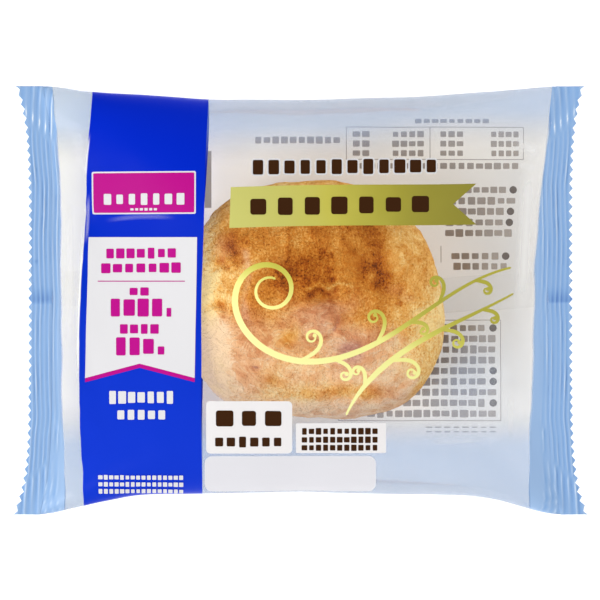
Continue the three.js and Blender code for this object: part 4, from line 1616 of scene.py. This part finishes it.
def build_flourish(film, inks):
    """A gold vine: one stem that unrolls from a big volute, a second one under it, and coiled tendrils."""
    foil = sheen_painted_finish(
        "gold_print", (0.4, 1.0), (-0.022, 0.016), 0.25,
        (0.0, inks.gold_low), (0.5, inks.gold_middle), (0.74, inks.gold_shade), (1.0, inks.gold_high),
    )
    gold = Print("gold_flourish", foil, "gold_print", 1)
    volute, heading = scroll(*VOLUTE)
    wave, _ = scroll(volute[-1], heading, WAVE_LENGTH, *WAVE_BENDS)
    long_stem = np.concatenate((volute, wave[1:]))
    short_stem, _ = scroll(*SHORT_STEM)
    gold.stroke(long_stem, tapered(long_stem, *LONG_STEM_WIDTHS))
    gold.stroke(short_stem, tapered(short_stem, *SHORT_STEM_WIDTHS))
    for stem, tendrils in ((wave, LONG_STEM_TENDRILS), (short_stem, SHORT_STEM_TENDRILS)):
        for tendril in tendrils:
            add_tendril(gold, stem, *tendril)
    gold.build(film)


# -------------------------------------------------------------------------------------------- stage
FLOOR_SIZE = 6.0  # metres
LIGHTS = (  # name, place and size in metres
    ("key", (-0.8, -0.55, 0.8), 0.6), ("fill", (0.8, 0.6, 0.9), 0.9), ("side", (-0.9, -0.25, 0.2), 0.5),
)
LIT_POINT = np.array((0.0, 0.0, 0.02))  # which the lights face
CAMERA_X = -0.13  # millimetres, as is all that is not said to be in metres
SENSOR_WIDTH = 36.0


def area_light(name, place, size, power):
    """A square soft light that faces the lit point, in metres and watts."""
    light = bpy.data.lights.new(name, "AREA")
    light.shape = "SQUARE"
    light.size = size
    light.energy = power
    lamp = add_object(name, light)
    lamp.location = place
    x, y, z = LIT_POINT - place
    lamp.rotation_euler = (0.0, math.acos(-z / math.hypot(x, y, z)), math.atan2(-y, -x))
    lamp.visible_glossy = name != "fill"  # it would veil the crust that is seen through the film's far slope


def studio_light(strength):
    """An even light that is bright low down all round, more so at the lower left, and dark overhead."""
    world = Finish("studio", world=True)
    x, y, z = world.axes("Generated")
    low = 1 - z.between(0.7, 0.96)
    power = (low * 0.9 + 0.1) * (1 - x * 0.1 - y * 0.12) * strength
    return world.done(world.add("ShaderNodeBackground", None, {"Strength": power}).outputs[0])


def build_stage(stage):
    """A pale floor, soft lights and the camera straight above the pack."""
    half = FLOOR_SIZE / 2
    corners = [(-half, -half, 0.0), (half, -half, 0.0), (half, half, 0.0), (-half, half, 0.0)]
    mesh = bpy.data.meshes.new("floor")
    mesh.from_pydata(corners, [], [(0, 1, 2, 3)])
    finish = Finish("floor")
    mesh.materials.append(finish.done(finish.principled(
        Base_Color=(0.9, 0.9, 0.9), Roughness=0.9, Specular_IOR_Level=0.0,
        Emission_Color=(1.0, 1.0, 1.0), Emission_Strength=0.25,
    )))
    add_object("floor", mesh)

    scene = bpy.context.scene
    scene.world = studio_light(stage.sky)
    for name, place, size in LIGHTS:
        area_light(name, place, size, getattr(stage, name))

    camera = bpy.data.cameras.new("camera")
    camera.sensor_width = SENSOR_WIDTH
    camera.lens = SENSOR_WIDTH * VIEW_HEIGHT / VIEW_WIDTH
    camera.clip_end = 20.0
    view = add_object("camera", camera)
    view.location = (CAMERA_X * MM, 0.0, (VIEW_HEIGHT + SEAL_HEIGHT) * MM)
    scene.camera = view
    scene.view_settings.view_transform = "Standard"


# ------------------------------------------------------------------------------------------- add-on
SETTINGS = {
    "creampuff_film": FilmSettings,
    "creampuff_puff": PuffSettings,
    "creampuff_prints": PrintSettings,
    "creampuff_stage": StageSettings,
}


def film_of(scene):
    """The film as it settles round a puff of the scene's sizes."""
    return settled_film(scene.creampuff_puff.shape())


class CREAMPUFF_OT_film(bpy.types.Operator):
    """Add the tube of film, as rings of clear and printed film"""

    bl_idname = "creampuff.film"
    bl_label = "Film"

    def execute(self, context):
        scene = context.scene
        build_film(film_of(scene), scene.creampuff_film, scene.creampuff_prints)
        return {"FINISHED"}


class CREAMPUFF_OT_seals(bpy.types.Operator):
    """Add the two crimped ends with their teeth"""

    bl_idname = "creampuff.seals"
    bl_label = "Seals"

    def execute(self, context):
        for side in (-1, 1):
            build_seal(film_of(context.scene), context.scene.creampuff_film, side)
        return {"FINISHED"}


class CREAMPUFF_OT_seam(bpy.types.Operator):
    """Add the folded seam along the back"""

    bl_idname = "creampuff.seam"
    bl_label = "Seam"

    def execute(self, context):
        build_seam(film_of(context.scene), context.scene.creampuff_film)
        return {"FINISHED"}


class CREAMPUFF_OT_puff(bpy.types.Operator):
    """Add the cream puff inside the film"""

    bl_idname = "creampuff.puff"
    bl_label = "Puff"

    def execute(self, context):
        build_puff(context.scene.creampuff_puff)
        return {"FINISHED"}


class CREAMPUFF_OT_panel_prints(bpy.types.Operator):
    """Add the blue band's plaque, white panel and rows"""

    bl_idname = "creampuff.panel_prints"
    bl_label = "Panel prints"

    def execute(self, context):
        build_panel_prints(film_of(context.scene), context.scene.creampuff_prints)
        return {"FINISHED"}


class CREAMPUFF_OT_window_prints(bpy.types.Operator):
    """Add the window's dark row, ribbon, labels and date panel"""

    bl_idname = "creampuff.window_prints"
    bl_label = "Window prints"

    def execute(self, context):
        build_window_prints(film_of(context.scene), context.scene.creampuff_prints)
        return {"FINISHED"}


class CREAMPUFF_OT_flourish(bpy.types.Operator):
    """Add the gold vine over the puff"""

    bl_idname = "creampuff.flourish"
    bl_label = "Flourish"

    def execute(self, context):
        build_flourish(film_of(context.scene), context.scene.creampuff_prints)
        return {"FINISHED"}


class CREAMPUFF_OT_back_prints(bpy.types.Operator):
    """Add the grey rows and boxes of the back"""

    bl_idname = "creampuff.back_prints"
    bl_label = "Back prints"

    def execute(self, context):
        build_back_prints(film_of(context.scene), context.scene.creampuff_prints)
        return {"FINISHED"}


class CREAMPUFF_OT_painted_highlights(bpy.types.Operator):
    """Add the painted highlights and reflections of the film, as milky streaks"""

    bl_idname = "creampuff.creases"
    bl_label = "Creases"

    def execute(self, context):
        build_painted_highlights(film_of(context.scene))
        return {"FINISHED"}


class CREAMPUFF_OT_stage(bpy.types.Operator):
    """Add the floor, the lights and the camera"""

    bl_idname = "creampuff.stage"
    bl_label = "Stage"

    def execute(self, context):
        build_stage(context.scene.creampuff_stage)
        return {"FINISHED"}


OPERATORS = (
    CREAMPUFF_OT_film,
    CREAMPUFF_OT_seals,
    CREAMPUFF_OT_seam,
    CREAMPUFF_OT_puff,
    CREAMPUFF_OT_panel_prints,
    CREAMPUFF_OT_window_prints,
    CREAMPUFF_OT_flourish,
    CREAMPUFF_OT_back_prints,
    CREAMPUFF_OT_painted_highlights,
    CREAMPUFF_OT_stage,
)


class CREAMPUFF_PT_panel(bpy.types.Panel):
    """Lists the operators and the settings"""

    bl_idname = "CREAMPUFF_PT_panel"
    bl_label = "Cream puff"
    bl_space_type = "VIEW_3D"
    bl_region_type = "UI"
    bl_category = "Cream puff"

    def draw(self, context):
        for operator in OPERATORS:
            self.layout.operator(operator.bl_idname)
        for label, group in SETTINGS.items():
            box = self.layout.box()
            for name in group.__annotations__:
                box.prop(getattr(context.scene, label), name)


CLASSES = (*SETTINGS.values(), *OPERATORS, CREAMPUFF_PT_panel)


def register():
    for part in CLASSES:
        bpy.utils.register_class(part)
    for label, group in SETTINGS.items():
        setattr(bpy.types.Scene, label, PointerProperty(type=group))


def unregister():
    for label in SETTINGS:
        delattr(bpy.types.Scene, label)
    for part in reversed(CLASSES):
        bpy.utils.unregister_class(part)


def main():
    """Builds every piece in order."""
    register()
    bpy.ops.creampuff.film()
    bpy.ops.creampuff.seals()
    bpy.ops.creampuff.seam()
    bpy.ops.creampuff.puff()
    bpy.ops.creampuff.panel_prints()
    bpy.ops.creampuff.window_prints()
    bpy.ops.creampuff.flourish()
    bpy.ops.creampuff.back_prints()
    bpy.ops.creampuff.creases()
    bpy.ops.creampuff.stage()


if __name__ == "__main__":
    main()
